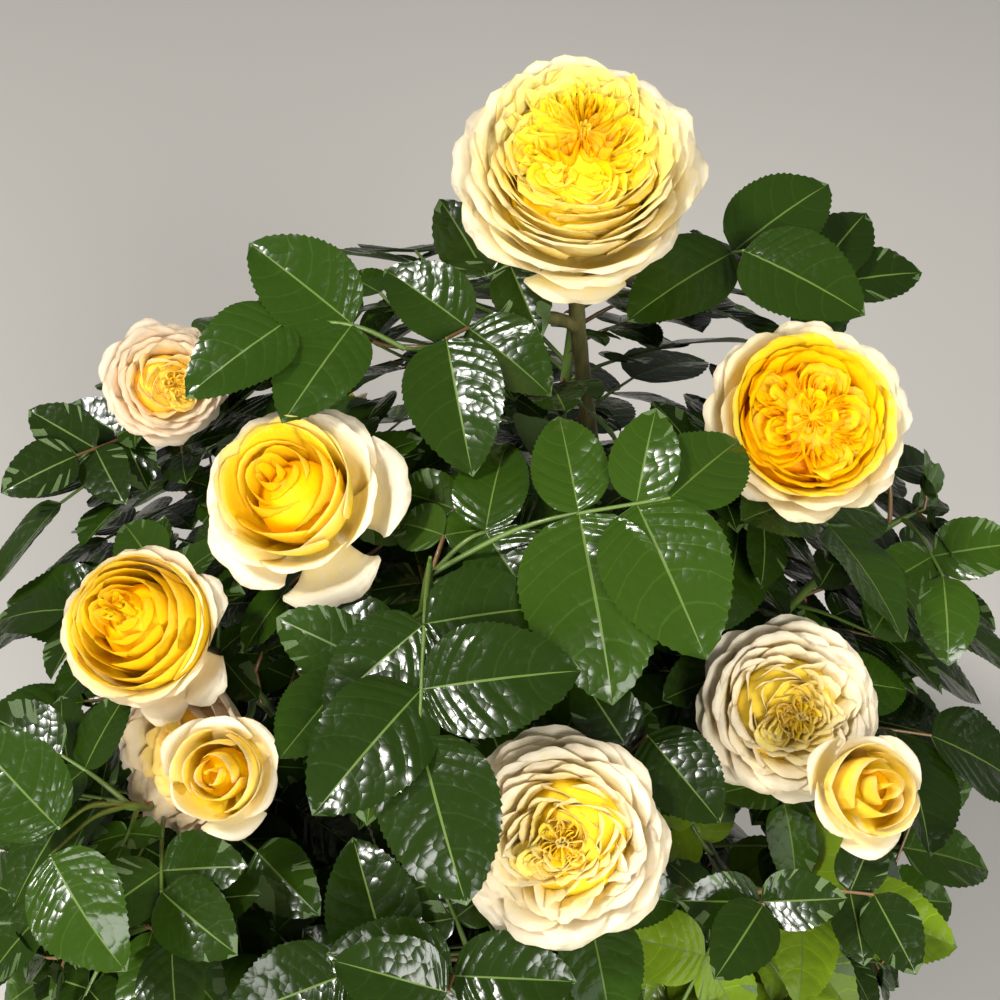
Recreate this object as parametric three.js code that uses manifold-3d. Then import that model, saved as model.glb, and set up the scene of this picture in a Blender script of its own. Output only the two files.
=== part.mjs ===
// A rose bush rooted in the ground: a short main stem, a cane to each mass of foliage, and
// masses of compound leaves with the blooms fused to their twigs.
// Millimetres, +Z up. The origin is the middle of the flat cut under the main stem, and the
// blooms in front face -Y. A compass azimuth of 0 is -Y, and 90 is +X.
import * as THREE from 'three';
import { mergeVertices } from 'three/addons/utils/BufferGeometryUtils.js';
import Module from 'manifold-3d';

const wasm = await Module();
wasm.setup();

// Driving dimensions

// The gap between pieces that touch
const GAP = 0.3;

// The main stem, from its flared foot to the knobbly head that the canes leave
const STEM = {
  height: 76, foot: 23, waist: 13, head: 17, flare: 15, lean: [5, 6], sides: 14, steps: 9,
  bow: 1.5, swelling: { from: 30, span: 60 }, dome: 0.7,
  knobs: [{ high: 0.07, round: 3, rise: 9 }, { high: 0.05, round: 5, rise: -14 }],
};

// Canes and the stems of the masses
const CANE = {
  sides: 6, steps: 5, rise: 0.36, arrive: 0.26, rootDepth: 7, sideRoot: 0.5, lean: 33, turnAway: 0.8,
};
const SHOOT = { sides: 4, stepLength: 55 };
const STALK = { sides: 4, steps: 4, radii: [2.4, 1.9], leave: 0.4, arrive: 0.35 };

// Compound leaves: a three-sided rachis, and leaflets of eight faces
const RACHIS = { sides: 3, radii: [2.3, 1.9] };
const LEAFLET = {
  width: 0.72, widest: 0.45, ridge: 0.3, thickness: 1.7, fold: 0.06, droop: 0.08, root: 0.5,
};
const LEAF = {
  petiole: 0.5, petiolule: 0.28, pairSpacing: 0.48, upperPair: 0.92, lowerPair: 0.78,
  pairTilt: [0.05, -0.1], stray: 7, variety: [0.93, 1.05], atStraight: 0.9, fewest: 3,
};

// Leaf nodes along a shoot; the solids carry every second node of the plant
const NODES = { spacing: 23, turn: 137.5, every: 2, belowTip: 24, aboveSplit: 8 };

// What keeps a leaf out: other masses' space, limbs, blooms, leaves that are there, and the
// reach of the crown
const CLEAR = { fringe: 30, limb: 8, bloom: 3, blade: 1.8, twig: 6, crowd: 0.35, reach: 0.6 };
const LINE_STEPS = { limb: 24, stalk: 6 };
const CROWN = { centre: [-5, -10, 350], radii: [285, 262, 335], lowest: 70 };

// How a leaf grows: what it looks towards, how it leaves its shoot, and the ranges that its
// seeded numbers are drawn from
const GROWTH = {
  up: 0.8, out: 0.45, jitter: 0.3, aside: 0.8, along: 0.6, flatten: 0.4, spare: 0.12, stray: 18,
  size: [56, 72], rise: [-0.2, 0.3], spread: [64, 82], hang: [0.1, 0.45], first: [0.3, 1, 0.2],
};
const HERO = { faces: [-0.08, -0.52, 0.85], bendAt: 0.6, lift: 0.12 };
const SEEDS = { hero: 9000, limb: 1000, pairs: 7000 };

// Each row is one cane with the mass at its end. A cane leaves the main stem at a height and
// an azimuth, or another cane at a fraction of its length. It runs to the mass's tip and
// arrives there facing an azimuth and an elevation; the mass takes over at the split.
const LIMBS = [
  { name: 'top', height: 70, azimuth: 115, tip: [33, 58, 657], facing: [0, 60], radii: [6, 3.6], split: 0.93 },
  { name: 'right', height: 60, azimuth: 65, tip: [129, -3, 585], facing: [8, 52], radii: [5.4, 3], split: 0.55 },
  { name: 'centre_left', height: 64, azimuth: -58, tip: [-80, -36, 567], facing: [-12, 56], radii: [5, 3], split: 0.55 },
  { name: 'front', height: 58, azimuth: 5, tip: [29, -142, 489], facing: [-3, 47], radii: [5.2, 3], split: 0.5 },
  { name: 'left', height: 54, azimuth: -115, tip: [-148, -59, 519], facing: [-15, 52], radii: [5, 2.8], split: 0.5 },
  { name: 'back', height: 66, azimuth: 180, tip: [44, 158, 597], facing: [170, 60], radii: [5.4, 3], split: 0.5 },
  { name: 'centre', from: 'centre_left', at: 0.4, tip: [-28, -80, 585], facing: [10, 70], radii: [4, 2.4], split: 0.35 },
  { name: 'top_left', from: 'top', at: 0.84, tip: [-44, 12, 622], facing: [-70, 30], radii: [3.2, 2.2], split: 0.3 },
  { name: 'top_right', from: 'top', at: 0.87, tip: [122, 74, 630], facing: [95, 25], radii: [3.2, 2.2], split: 0.4 },
  { name: 'far_left', from: 'left', at: 0.3, tip: [-168, 72, 554], facing: [25, 45], radii: [4, 2.4], split: 0.35 },
  { name: 'front_left', from: 'left', at: 0.44, tip: [-168, -126, 484], facing: [-40, 55], radii: [3.6, 2.2], split: 0.3 },
  { name: 'right_front', from: 'right', at: 0.3, tip: [128, -64, 473], facing: [0, 50], radii: [4.2, 2.6], split: 0.4 },
  { name: 'far_right', from: 'right', at: 0.48, tip: [206, 20, 520], facing: [75, 40], radii: [3.6, 2.2], split: 0.3 },
  { name: 'back_left', from: 'back', at: 0.34, tip: [-98, 144, 442], facing: [-145, 52], radii: [4.2, 2.6], split: 0.4 },
  { name: 'back_right', from: 'back', at: 0.42, tip: [160, 114, 450], facing: [118, 48], radii: [4, 2.5], split: 0.35 },
  { name: 'front_low', from: 'front', at: 0.4, tip: [-18, -190, 462], facing: [-20, 45], radii: [3.6, 2.2], split: 0.3 },
  { name: 'low_right', from: 'right_front', at: 0.3, tip: [112, -150, 440], facing: [25, 40], radii: [3.4, 2.1], split: 0.35 },
  { name: 'low_left', from: 'left', at: 0.24, tip: [-200, -150, 400], facing: [-60, 10], radii: [3.8, 2.1], split: 0.3 },
  { name: 'skirt_front', height: 44, azimuth: -25, tip: [-40, -196, 270], facing: [-10, 25], radii: [4, 2.1], split: 0.35 },
  { name: 'skirt_right', height: 46, azimuth: 38, tip: [205, -90, 290], facing: [60, 25], radii: [4, 2.1], split: 0.35 },
  { name: 'skirt_left', height: 42, azimuth: -90, tip: [-225, 20, 300], facing: [-90, 25], radii: [4, 2.1], split: 0.35 },
  { name: 'skirt_back', height: 48, azimuth: -155, tip: [-60, 205, 330], facing: [-165, 30], radii: [4, 2.1], split: 0.35 },
  { name: 'skirt_back_right', height: 50, azimuth: 135, tip: [180, 120, 330], facing: [120, 30], radii: [4, 2.1], split: 0.35 },
];

// A bloom's middle and half its thickness as shares of its depth, and how its rim is scalloped
const BLOOM = {
  sides: 10, middle: 0.8, thick: 0.62, dimple: 0.05, petals: 5, scallop: 0.05, slant: 5, core: 0.3,
};

// Blooms: the first of a mass sits on its tip, and others on stalks that fork from its stem
const BLOOMS = [
  { of: 'top', style: 'rosette', radius: 53, deep: 44 },
  { of: 'right', style: 'cup', radius: 42, deep: 34 },
  { of: 'centre_left', style: 'open', radius: 42, deep: 32 },
  { of: 'left', style: 'cup', radius: 34, deep: 32 },
  { of: 'left', style: 'bud', radius: 25, deep: 26, at: 0.62, tip: [-114, -118, 496], facing: [-5, 50] },
  { of: 'left', style: 'spent', radius: 33, deep: 24, at: 0.45, tip: [-124, -84, 478], facing: [-42, 28] },
  { of: 'front', style: 'rosette', radius: 43, deep: 36 },
  { of: 'right_front', style: 'rosette', radius: 40, deep: 33 },
  { of: 'right_front', style: 'bud', radius: 25, deep: 28, at: 0.6, tip: [150, -118, 481], facing: [20, 54] },
  { of: 'far_left', style: 'spent', radius: 30, deep: 23 },
  { of: 'back_left', style: 'cup', radius: 38, deep: 32 },
  { of: 'back', style: 'rosette', radius: 42, deep: 34 },
  { of: 'back_right', style: 'open', radius: 38, deep: 30 },
];

// The leaves that the front view shows by themselves: where each leaves its shoot, the joint
// under its end leaflet, that leaflet's tip, the leaflet lengths from the end one inwards, and
// the angle, or one angle for each pair, that the pairs stand out at. A pair may be askew, with
// its two sides at different shares of its length, and further back from the joint.
const HEROES = [
  { of: 'centre', at: 0.97, joint: [-30, -154, 565], tip: [-14, -200, 530], leaflets: [64, 64, 54], spread: [69, 80], askew: 24, shares: [0.95, 1] },
  { of: 'centre', at: 0.9, joint: [67, -72, 610], tip: [100, -36, 614], leaflets: [48, 68, 78], spread: [70, 94], shares: [1, 0.62] },
  { of: 'top_left', at: 0.95, joint: [-88, 8, 640], tip: [-130, -22, 624], leaflets: [55, 54], spread: 44, askew: 12, back: 0.5 },
  { of: 'top_left', at: 0.3, joint: [-23, 10, 628], tip: [-13, -38, 601], leaflets: [62, 50], spread: 80 },
  { of: 'top', at: 0.3, joint: [-6, 54, 631], tip: [-26, 78, 656], leaflets: [42, 40], spread: 80 },
  { of: 'top_right', at: 0.6, joint: [108, 53, 645], tip: [152, 24, 638], leaflets: [60, 60], spread: 88 },
  { of: 'top_right', at: 0.98, joint: [158, 72, 616], tip: [192, 78, 618], leaflets: [42, 42], spread: 75 },
  { of: 'front', at: 0.7, joint: [62, -112, 512], tip: [88, -146, 502], leaflets: [46, 42], spread: 75 },
  { of: 'front_left', at: 0.97, joint: [-173, -160, 515], tip: [-206, -134, 534], leaflets: [56] },
  { of: 'front_left', at: 0.9, joint: [-177, -166, 505], tip: [-150, -200, 490], leaflets: [54] },
  { of: 'front_left', at: 0.7, joint: [-140, -160, 470], tip: [-110, -184, 466], leaflets: [42, 40], spread: 70 },
  { of: 'front_low', at: 0.97, joint: [-20, -210, 480], tip: [-62, -206, 496], leaflets: [46, 50], spread: 85 },
  { of: 'far_left', at: 0.7, joint: [-208, 44, 534], tip: [-242, 24, 528], leaflets: [40, 38, 34], spread: 72 },
  { of: 'far_right', at: 0.9, joint: [208, -18, 512], tip: [208, -54, 490], leaflets: [42, 40], spread: 80 },
  { of: 'low_right', at: 0.95, joint: [108, -166, 470], tip: [88, -194, 468], leaflets: [38, 34], spread: 75 },
  { of: 'low_right', at: 0.8, joint: [160, -150, 452], tip: [176, -180, 436], leaflets: [36, 32], spread: 70 },
];

// Colours
const COLOURS = { stem: 0x5d5236, cane: 0x55602f, foliage: 0x2f5a24, bloomed: 0x3a6128 };
const ROUGHNESS = 0.6;

// Points and directions

const point = ([x, y, z]) => new THREE.Vector3(x, y, z);

function compass(azimuth, elevation) {
  const a = THREE.MathUtils.degToRad(azimuth);
  const e = THREE.MathUtils.degToRad(elevation);
  return new THREE.Vector3(Math.sin(a) * Math.cos(e), -Math.cos(a) * Math.cos(e), Math.sin(e));
}

const step = (from, direction, length) => from.clone().addScaledVector(direction, length);

const mix = (a, b, t) => a + (b - a) * t;

// The part of a direction that is square to another one
function squareTo(direction, axis) {
  return direction.clone().addScaledVector(axis, -direction.dot(axis)).normalize();
}

// A small seeded generator of numbers from 0 to 1
function randomFrom(seed) {
  let state = seed >>> 0;
  return () => {
    state = (state + 0x6d2b79f5) >>> 0;
    let mixed = Math.imul(state ^ (state >>> 15), state | 1);
    mixed = (mixed + Math.imul(mixed ^ (mixed >>> 7), mixed | 61)) ^ mixed;
    return ((mixed ^ (mixed >>> 14)) >>> 0) / 4294967296;
  };
}

// Solids

function solidOf(geometry) {
  geometry.deleteAttribute('normal');
  geometry.deleteAttribute('uv');
  const merged = mergeVertices(geometry, 1e-4);
  const corners = merged.index.array;
  const faces = [];
  for (let i = 0; i < corners.length; i += 3) {
    const [a, b, c] = [corners[i], corners[i + 1], corners[i + 2]];
    if (a !== b && b !== c && c !== a) faces.push(a, b, c);
  }
  const mesh = new wasm.Mesh({
    numProp: 3,
    vertProperties: Float32Array.from(merged.attributes.position.array),
    triVerts: Uint32Array.from(faces),
  });
  return new wasm.Manifold(mesh);
}

function meshOf(name, solid, colour) {
  const { vertProperties, triVerts } = solid.getMesh();
  const geometry = new THREE.BufferGeometry();
  geometry.setAttribute('position', new THREE.BufferAttribute(vertProperties, 3));
  geometry.setIndex(new THREE.BufferAttribute(triVerts, 1));
  geometry.computeVertexNormals();
  const material = new THREE.MeshStandardMaterial({ color: colour, roughness: ROUGHNESS, metalness: 0 });
  const mesh = new THREE.Mesh(geometry, material);
  mesh.name = name;
  return mesh;
}

const evenStops = (from, to, steps) => Array.from({ length: steps + 1 }, (_, i) => mix(from, to, i / steps));

// A closed tapering tube bent along a curve, with a ring of corners at each stop
function bentTube(curve, radiusAt, sides, stops) {
  const steps = stops.length - 1;
  const tube = new THREE.CylinderGeometry(1, 1, 1, sides, steps);
  const chord = curve.getPoint(stops[steps]).sub(curve.getPoint(stops[0])).normalize();
  const flat = Math.abs(chord.x) < Math.abs(chord.y) ? new THREE.Vector3(1, 0, 0) : new THREE.Vector3(0, 1, 0);
  const place = tube.attributes.position;
  for (let i = 0; i < place.count; i += 1) {
    const t = stops[Math.round((place.getY(i) + 0.5) * steps)];
    const tangent = curve.getTangent(t);
    const across = squareTo(flat, tangent);
    const over = across.clone().cross(tangent);
    const radius = radiusAt(t);
    const at = curve.getPoint(t);
    at.addScaledVector(across, place.getX(i) * radius);
    at.addScaledVector(over, place.getZ(i) * radius);
    place.setXYZ(i, at.x, at.y, at.z);
  }
  return solidOf(tube);
}

// The main stem

function stemAxis(height) {
  const lean = (height / STEM.height) ** STEM.bow;
  return new THREE.Vector3(STEM.lean[0] * lean, STEM.lean[1] * lean, height);
}

function stemRadius(height) {
  const flare = (STEM.foot - STEM.waist) * Math.exp(-height / STEM.flare);
  const { from, span } = STEM.swelling;
  const swelling = Math.sin(Math.PI * THREE.MathUtils.clamp((height - from) / span, 0, 1));
  const dome = height > STEM.height - 1 ? STEM.dome : 1;
  return (STEM.waist + flare + (STEM.head - STEM.waist) * swelling) * dome;
}

function mainStem() {
  const stem = new THREE.CylinderGeometry(1, 1, 1, STEM.sides, STEM.steps);
  const place = stem.attributes.position;
  for (let i = 0; i < place.count; i += 1) {
    const height = STEM.height * (place.getY(i) + 0.5);
    const angle = Math.atan2(place.getX(i), place.getZ(i));
    const knobs = STEM.knobs.map((knob) => knob.high * Math.sin(knob.round * angle + height / knob.rise));
    const radius = stemRadius(height) * (1 + knobs[0] + knobs[1]);
    const axis = stemAxis(height);
    place.setXYZ(i, axis.x + place.getX(i) * radius, axis.y - place.getZ(i) * radius, height);
  }
  return solidOf(stem);
}

// Limbs: the cane and the mass's stem are one curve, split into two pieces

const limbs = new Map();

function limbCurve(row) {
  const tip = point(row.tip);
  let start;
  let leave;
  if (row.from) {
    const parent = limbs.get(row.from).curve;
    const along = parent.getTangent(row.at);
    const towards = tip.clone().sub(parent.getPoint(row.at)).normalize();
    start = step(parent.getPoint(row.at), squareTo(towards, along), row.radii[0] * CANE.sideRoot);
    leave = along.add(towards.multiplyScalar(CANE.turnAway)).normalize();
  } else {
    const outward = compass(row.azimuth, 0);
    start = step(stemAxis(row.height), outward, CANE.rootDepth);
    leave = compass(row.azimuth, 90 - CANE.lean);
  }
  const span = tip.distanceTo(start);
  const arrive = compass(...row.facing);
  return new THREE.CubicBezierCurve3(
    start, step(start, leave, span * CANE.rise), step(tip, arrive, -span * CANE.arrive), tip,
  );
}

for (const row of LIMBS) {
  const curve = limbCurve(row);
  limbs.set(row.name, {
    row,
    curve,
    length: curve.getLength(),
    radiusAt: (t) => mix(row.radii[0], row.radii[1], t),
    lines: [curve.getPoints(LINE_STEPS.limb)],
    leaves: [],
    stalks: [],
    blooms: [],
  });
}

function canePiece(limb) {
  const { curve, radiusAt, row } = limb;
  let cane = bentTube(curve, radiusAt, CANE.sides, evenStops(0, row.split, CANE.steps));
  if (row.from) {
    const parent = limbs.get(row.from);
    const wider = (t) => parent.radiusAt(t) + GAP;
    cane = cane.subtract(bentTube(parent.curve, wider, CANE.sides, evenStops(0, parent.row.split, CANE.steps)));
  }
  return cane;
}

// Blooms

const bloomList = BLOOMS.map((row) => {
  const limb = limbs.get(row.of);
  const tip = row.tip ? point(row.tip) : limb.curve.getPoint(1);
  const axis = row.tip ? compass(...row.facing) : limb.curve.getTangent(1);
  const bloom = { row, limb, tip, axis, centre: step(tip, axis, row.deep * BLOOM.middle) };
  limb.blooms.push(bloom);
  if (row.tip) {
    const fork = mix(limb.row.split, 1, row.at);
    const start = limb.curve.getPoint(fork);
    const span = tip.distanceTo(start);
    const bend1 = step(start, limb.curve.getTangent(fork), span * STALK.leave);
    const bend2 = step(tip, axis, -span * STALK.arrive);
    const stalk = new THREE.CubicBezierCurve3(start, bend1, bend2, tip);
    limb.stalks.push(stalk);
    limb.lines.push(stalk.getPoints(LINE_STEPS.stalk));
  }
  return bloom;
});

// How a bloom's radius and height run from its neck round the rim to its middle, as shares of
// its radius and its depth
const BLOOM_PROFILES = {
  rosette: [[0.1, -0.05], [0.13, 0.2], [0.7, 0.38], [1, 0.72], [0.84, 0.78], [0.84, 0.98],
    [0.5, 0.98], [0.46, 1.12]],
  cup: [[0.1, -0.05], [0.14, 0.2], [0.74, 0.4], [1, 0.85], [0.8, 0.84], [0.72, 1.1],
    [0.46, 1.06], [0.38, 1.16]],
  open: [[0.1, -0.05], [0.14, 0.2], [0.76, 0.4], [1, 0.8], [0.7, 0.74], [0.58, 1.1],
    [0.34, 1.02]],
  bud: [[0.14, -0.05], [0.18, 0.2], [0.72, 0.42], [1, 0.86], [0.7, 0.84], [0.5, 1.2]],
  spent: [[0.1, -0.05], [0.15, 0.24], [0.7, 0.38], [1, 0.74], [0.72, 0.8], [0.62, 1.04]],
};

function bloomSolid({ row, tip, axis }) {
  const profile = BLOOM_PROFILES[row.style];
  const rings = profile.map(([r, h]) => new THREE.Vector2(r * row.radius, h * row.deep));
  const last = profile[profile.length - 1];
  const crown = new THREE.Vector2(0, (last[1] - BLOOM.dimple) * row.deep);
  const outline = [new THREE.Vector2(0, rings[0].y), ...rings, crown];
  const lathe = new THREE.LatheGeometry(outline, BLOOM.sides);
  const turned = new THREE.Quaternion().setFromUnitVectors(new THREE.Vector3(0, 1, 0), axis);
  const place = lathe.attributes.position;
  for (let i = 0; i < place.count; i += 1) {
    const at = new THREE.Vector3().fromBufferAttribute(place, i);
    const out = Math.hypot(at.x, at.z);
    const angle = Math.atan2(at.x, at.z);
    const scallop = out > row.radius * BLOOM.core ? BLOOM.scallop : 0;
    const wave = 1 + scallop * Math.cos(BLOOM.petals * angle + at.y / BLOOM.slant);
    at.set(at.x * wave, at.y, at.z * wave).applyQuaternion(turned).add(tip);
    place.setXYZ(i, at.x, at.y, at.z);
  }
  return solidOf(lathe);
}

// Compound leaves

// A leaflet as a flat kite: base, right, tip and left, which is all that the space rules need
function leafletAt(base, along, up, length) {
  const over = squareTo(up, along);
  const across = along.clone().cross(over);
  const middle = step(step(base, along, length * LEAFLET.widest), over, length * LEAFLET.fold);
  const half = length * LEAFLET.width / 2;
  const tip = step(step(base, along, length), over, -length * LEAFLET.droop);
  const kite = [base, step(middle, across, half), tip, step(middle, across, -half)];
  return { base, along, over, across, length, kite };
}

// The leaflets on a rachis, which is a line from its root over a bend to a joint: one leaflet
// at the joint, and a pair for each length after the first
function leafletsOn([, bend, joint], endTip, up, lengths, spread, random, pairs = {}) {
  const { askew = 0, shares = [1, 1], back = LEAF.petiolule } = pairs;
  const size = lengths[0];
  const leaflets = [leafletAt(joint, endTip.clone().sub(joint).normalize(), up, size)];
  const straight = joint.distanceTo(bend);
  const tangent = joint.clone().sub(bend).normalize();
  const over = squareTo(up, tangent);
  for (let pair = 1; pair < lengths.length; pair += 1) {
    const behind = size * (back + LEAF.pairSpacing * (pair - 1));
    const base = step(joint, tangent, -Math.min(behind, straight * LEAF.atStraight));
    const standing = Array.isArray(spread) ? spread[pair - 1] : spread;
    for (const [i, side] of [-1, 1].entries()) {
      const turn = side * (standing + mix(-LEAF.stray, LEAF.stray, random())) + askew;
      const angle = THREE.MathUtils.degToRad(turn);
      const length = lengths[pair] * shares[i];
      const along = tangent.clone().applyAxisAngle(over, angle);
      along.addScaledVector(over, LEAF.pairTilt[pair - 1]).normalize();
      leaflets.push(leafletAt(base, along, up, length * mix(...LEAF.variety, random())));
    }
  }
  return leaflets;
}

// Points spread over a leaflet's blade
function bladePoints({ kite }) {
  const [base, right, tip, left] = kite;
  const middle = right.clone().add(left).multiplyScalar(0.5);
  const points = [...kite, middle];
  for (const end of [base, tip]) {
    for (const side of [right, left, middle]) {
      points.push(end.clone().add(side).multiplyScalar(0.5));
    }
  }
  return points;
}

// The space rules

const segment = new THREE.Line3();
const nearestOn = new THREE.Vector3();

function distanceToLine(p, line) {
  let nearest = Infinity;
  for (let i = 1; i < line.length; i += 1) {
    segment.set(line[i - 1], line[i]).closestPointToPoint(p, true, nearestOn);
    nearest = Math.min(nearest, nearestOn.distanceTo(p));
  }
  return nearest;
}

function distanceToLimb(p, limb) {
  return Math.min(...limb.lines.map((line) => distanceToLine(p, line)));
}

function insideBloom(p) {
  return bloomList.some(({ row, centre, axis }) => {
    const from = p.clone().sub(centre);
    const high = from.dot(axis);
    const out = Math.sqrt(Math.max(0, from.lengthSq() - high * high));
    return (out / (row.radius + CLEAR.bloom)) ** 2 + (high / (row.deep * BLOOM.thick + CLEAR.bloom)) ** 2 < 1;
  });
}

function insideCrown(p) {
  const share = ['x', 'y', 'z'].map((axis, i) => (p[axis] - CROWN.centre[i]) / CROWN.radii[i]);
  return share[0] ** 2 + share[1] ** 2 + share[2] ** 2 < 1 && p.z > CROWN.lowest;
}

// A mass's own space is where its own limb is the nearest one, give or take a fringe, and
// nothing in it touches a limb
function ownSpace(p, limb) {
  const own = distanceToLimb(p, limb);
  if (own < CLEAR.limb) return false;
  for (const other of limbs.values()) {
    if (other === limb) continue;
    const away = distanceToLimb(p, other);
    if (away < CLEAR.limb || away < own - CLEAR.fringe) return false;
  }
  return true;
}

// Whether a segment passes through a triangle
function pierces(from, to, [a, b, c]) {
  const direction = to.clone().sub(from);
  const long = direction.length();
  const hit = new THREE.Ray(from, direction.divideScalar(long)).intersectTriangle(a, b, c, false, nearestOn);
  return hit !== null && hit.distanceTo(from) < long;
}

const halves = ([base, right, tip, left]) => [[base, right, tip], [base, tip, left]];
const edges = ([base, right, tip, left]) => [[base, right], [right, tip], [tip, left], [left, base], [base, tip]];

function kitesCross(one, other) {
  return edges(one).some(([p, q]) => halves(other).some((half) => pierces(p, q, half)))
    || edges(other).some(([p, q]) => halves(one).some((half) => pierces(p, q, half)));
}

function lineCrosses(line, kite) {
  return line.slice(1).some((q, i) => halves(kite).some((half) => pierces(line[i], q, half)));
}

const placedBlades = [];
const placedTwigs = [];

const middleOf = (leaflet) => step(leaflet.base, leaflet.along, leaflet.length / 2);

function bladeIsFree(leaflet) {
  const middle = middleOf(leaflet);
  const reach = (other) => (leaflet.length + other.length) * CLEAR.reach;
  const near = placedBlades.filter((other) => middleOf(other).distanceTo(middle) < reach(other));
  if (near.some((other) => middleOf(other).distanceTo(middle) < leaflet.length * CLEAR.crowd)) return false;
  for (const shift of [-CLEAR.blade, 0, CLEAR.blade]) {
    const kite = leaflet.kite.map((corner) => step(corner, leaflet.over, shift));
    if (near.some((other) => kitesCross(kite, other.kite))) return false;
    if (placedTwigs.some((line) => lineCrosses(line, kite))) return false;
  }
  return true;
}

function leafletFits(leaflet, limb) {
  const points = bladePoints(leaflet);
  if (!points.every((p) => insideCrown(p) && !insideBloom(p))) return false;
  return points.slice(1).every((p) => ownSpace(p, limb)) && bladeIsFree(leaflet);
}

function twigFits(line, limb) {
  const free = line.slice(1);
  if (free.some((p) => insideBloom(p) || !ownSpace(p, limb))) return false;
  if (placedBlades.some((other) => lineCrosses(line, other.kite))) return false;
  return placedTwigs.every((other) => free.every((p) => distanceToLine(p, other) > CLEAR.twig));
}

function keepLeaf(limb, rachis, leaflets) {
  limb.leaves.push({ rachis, leaflets });
  placedBlades.push(...leaflets);
  placedTwigs.push(rachis);
}

// The leaves of the front view
for (const [index, hero] of HEROES.entries()) {
  const limb = limbs.get(hero.of);
  const random = randomFrom(SEEDS.hero + index);
  const start = limb.curve.getPoint(mix(limb.row.split, 1, hero.at));
  const joint = point(hero.joint);
  const bend = joint.clone().lerp(start, HERO.bendAt);
  bend.z += start.distanceTo(joint) * HERO.lift;
  const rachis = [start, bend, joint];
  const up = point(HERO.faces).normalize();
  const leaflets = leafletsOn(rachis, point(hero.tip), up, hero.leaflets, hero.spread, random, hero);
  keepLeaf(limb, rachis, leaflets);
}

// The other leaves: at each node of a shoot one compound leaf turns away from the one before,
// and where it has no room it is tried at other angles, and then smaller with fewer leaflets
const TRIES = {
  shapes: [[1, 2], [0.92, 1], [0.8, 1], [0.68, 1]],
  swings: [0, 35, -35, 70, -70, 110, -110, 150],
};

function leafAtNode(limb, index) {
  const t = 1 - (NODES.belowTip + index * NODES.spacing) / limb.length;
  if (t * limb.length < limb.row.split * limb.length + NODES.aboveSplit) return;
  const random = randomFrom(SEEDS.limb * LIMBS.indexOf(limb.row) + index + 1);
  const start = limb.curve.getPoint(t);
  const tangent = limb.curve.getTangent(t);
  const aside = squareTo(point(GROWTH.first), tangent);
  const turn = index * NODES.turn + mix(-GROWTH.stray, GROWTH.stray, random());
  const size = mix(...GROWTH.size, random());
  const outward = new THREE.Vector3(start.x, start.y, 0).normalize();
  const up = new THREE.Vector3(0, 0, GROWTH.up).addScaledVector(outward, GROWTH.out);
  up.x += GROWTH.jitter * (random() - 0.5);
  up.y += GROWTH.jitter * (random() - 0.5);
  up.normalize();
  const rise = mix(...GROWTH.rise, random());
  const spread = mix(...GROWTH.spread, random());
  const hang = mix(...GROWTH.hang, random());
  for (const [scale, pairs] of TRIES.shapes) {
    for (const swing of TRIES.swings) {
      const away = aside.clone().applyAxisAngle(tangent, THREE.MathUtils.degToRad(turn + swing));
      const leave = away.clone().multiplyScalar(GROWTH.aside).addScaledVector(tangent, GROWTH.along);
      const reach = away.clone().addScaledVector(outward, GROWTH.out);
      reach.z = reach.z * GROWTH.flatten + rise;
      reach.normalize();
      const long = size * scale;
      const bend = step(start, leave.normalize(), long * LEAF.petiole);
      const straight = LEAF.petiolule + LEAF.pairSpacing * (pairs - 1) + GROWTH.spare;
      const joint = step(bend, reach, long * straight);
      const rachis = [start, bend, joint];
      if (!twigFits(rachis, limb)) continue;
      const lengths = [long, long * LEAF.upperPair, long * LEAF.lowerPair].slice(0, pairs + 1);
      const tip = step(joint, reach, long);
      tip.z -= hang * long;
      const leaflets = leafletsOn(rachis, tip, up, lengths, spread, randomFrom(SEEDS.pairs + index));
      if (!leafletFits(leaflets[0], limb)) continue;
      const fitting = leaflets.filter((leaflet) => leafletFits(leaflet, limb));
      if (fitting.length < LEAF.fewest) continue;
      keepLeaf(limb, rachis, fitting);
      return;
    }
  }
}

const mostNodes = Math.max(...[...limbs.values()].map((limb) => limb.length)) / NODES.spacing;
for (let index = 0; index < mostNodes; index += NODES.every) {
  for (const limb of limbs.values()) leafAtNode(limb, index);
}

// A leaflet's solid: a blade of eight faces with its sides folded up and its tip hanging
function leafletSolid({ base, along, over, length, kite }) {
  const blade = new THREE.OctahedronGeometry(1);
  const place = blade.attributes.position;
  for (let i = 0; i < place.count; i += 1) {
    const [side, forward, height] = [place.getX(i), place.getY(i), place.getZ(i)];
    const at = base.clone();
    if (forward < -0.5) {
      at.addScaledVector(along, -LEAFLET.root);
    } else if (forward > 0.5) {
      at.copy(kite[2]);
    } else if (Math.abs(side) > 0.5) {
      at.copy(side > 0 ? kite[1] : kite[3]);
    } else {
      at.addScaledVector(along, length * LEAFLET.ridge);
      at.addScaledVector(over, height * LEAFLET.thickness / 2);
    }
    place.setXYZ(i, at.x, at.y, at.z);
  }
  return solidOf(blade);
}

function rachisSolid([root, bend, joint]) {
  const line = new THREE.CurvePath();
  line.add(new THREE.LineCurve3(root, bend));
  line.add(new THREE.LineCurve3(bend, joint));
  const turn = root.distanceTo(bend) / line.getLength();
  return bentTube(line, (t) => mix(RACHIS.radii[0], RACHIS.radii[1], t), RACHIS.sides, [0, turn, 1]);
}

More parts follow.
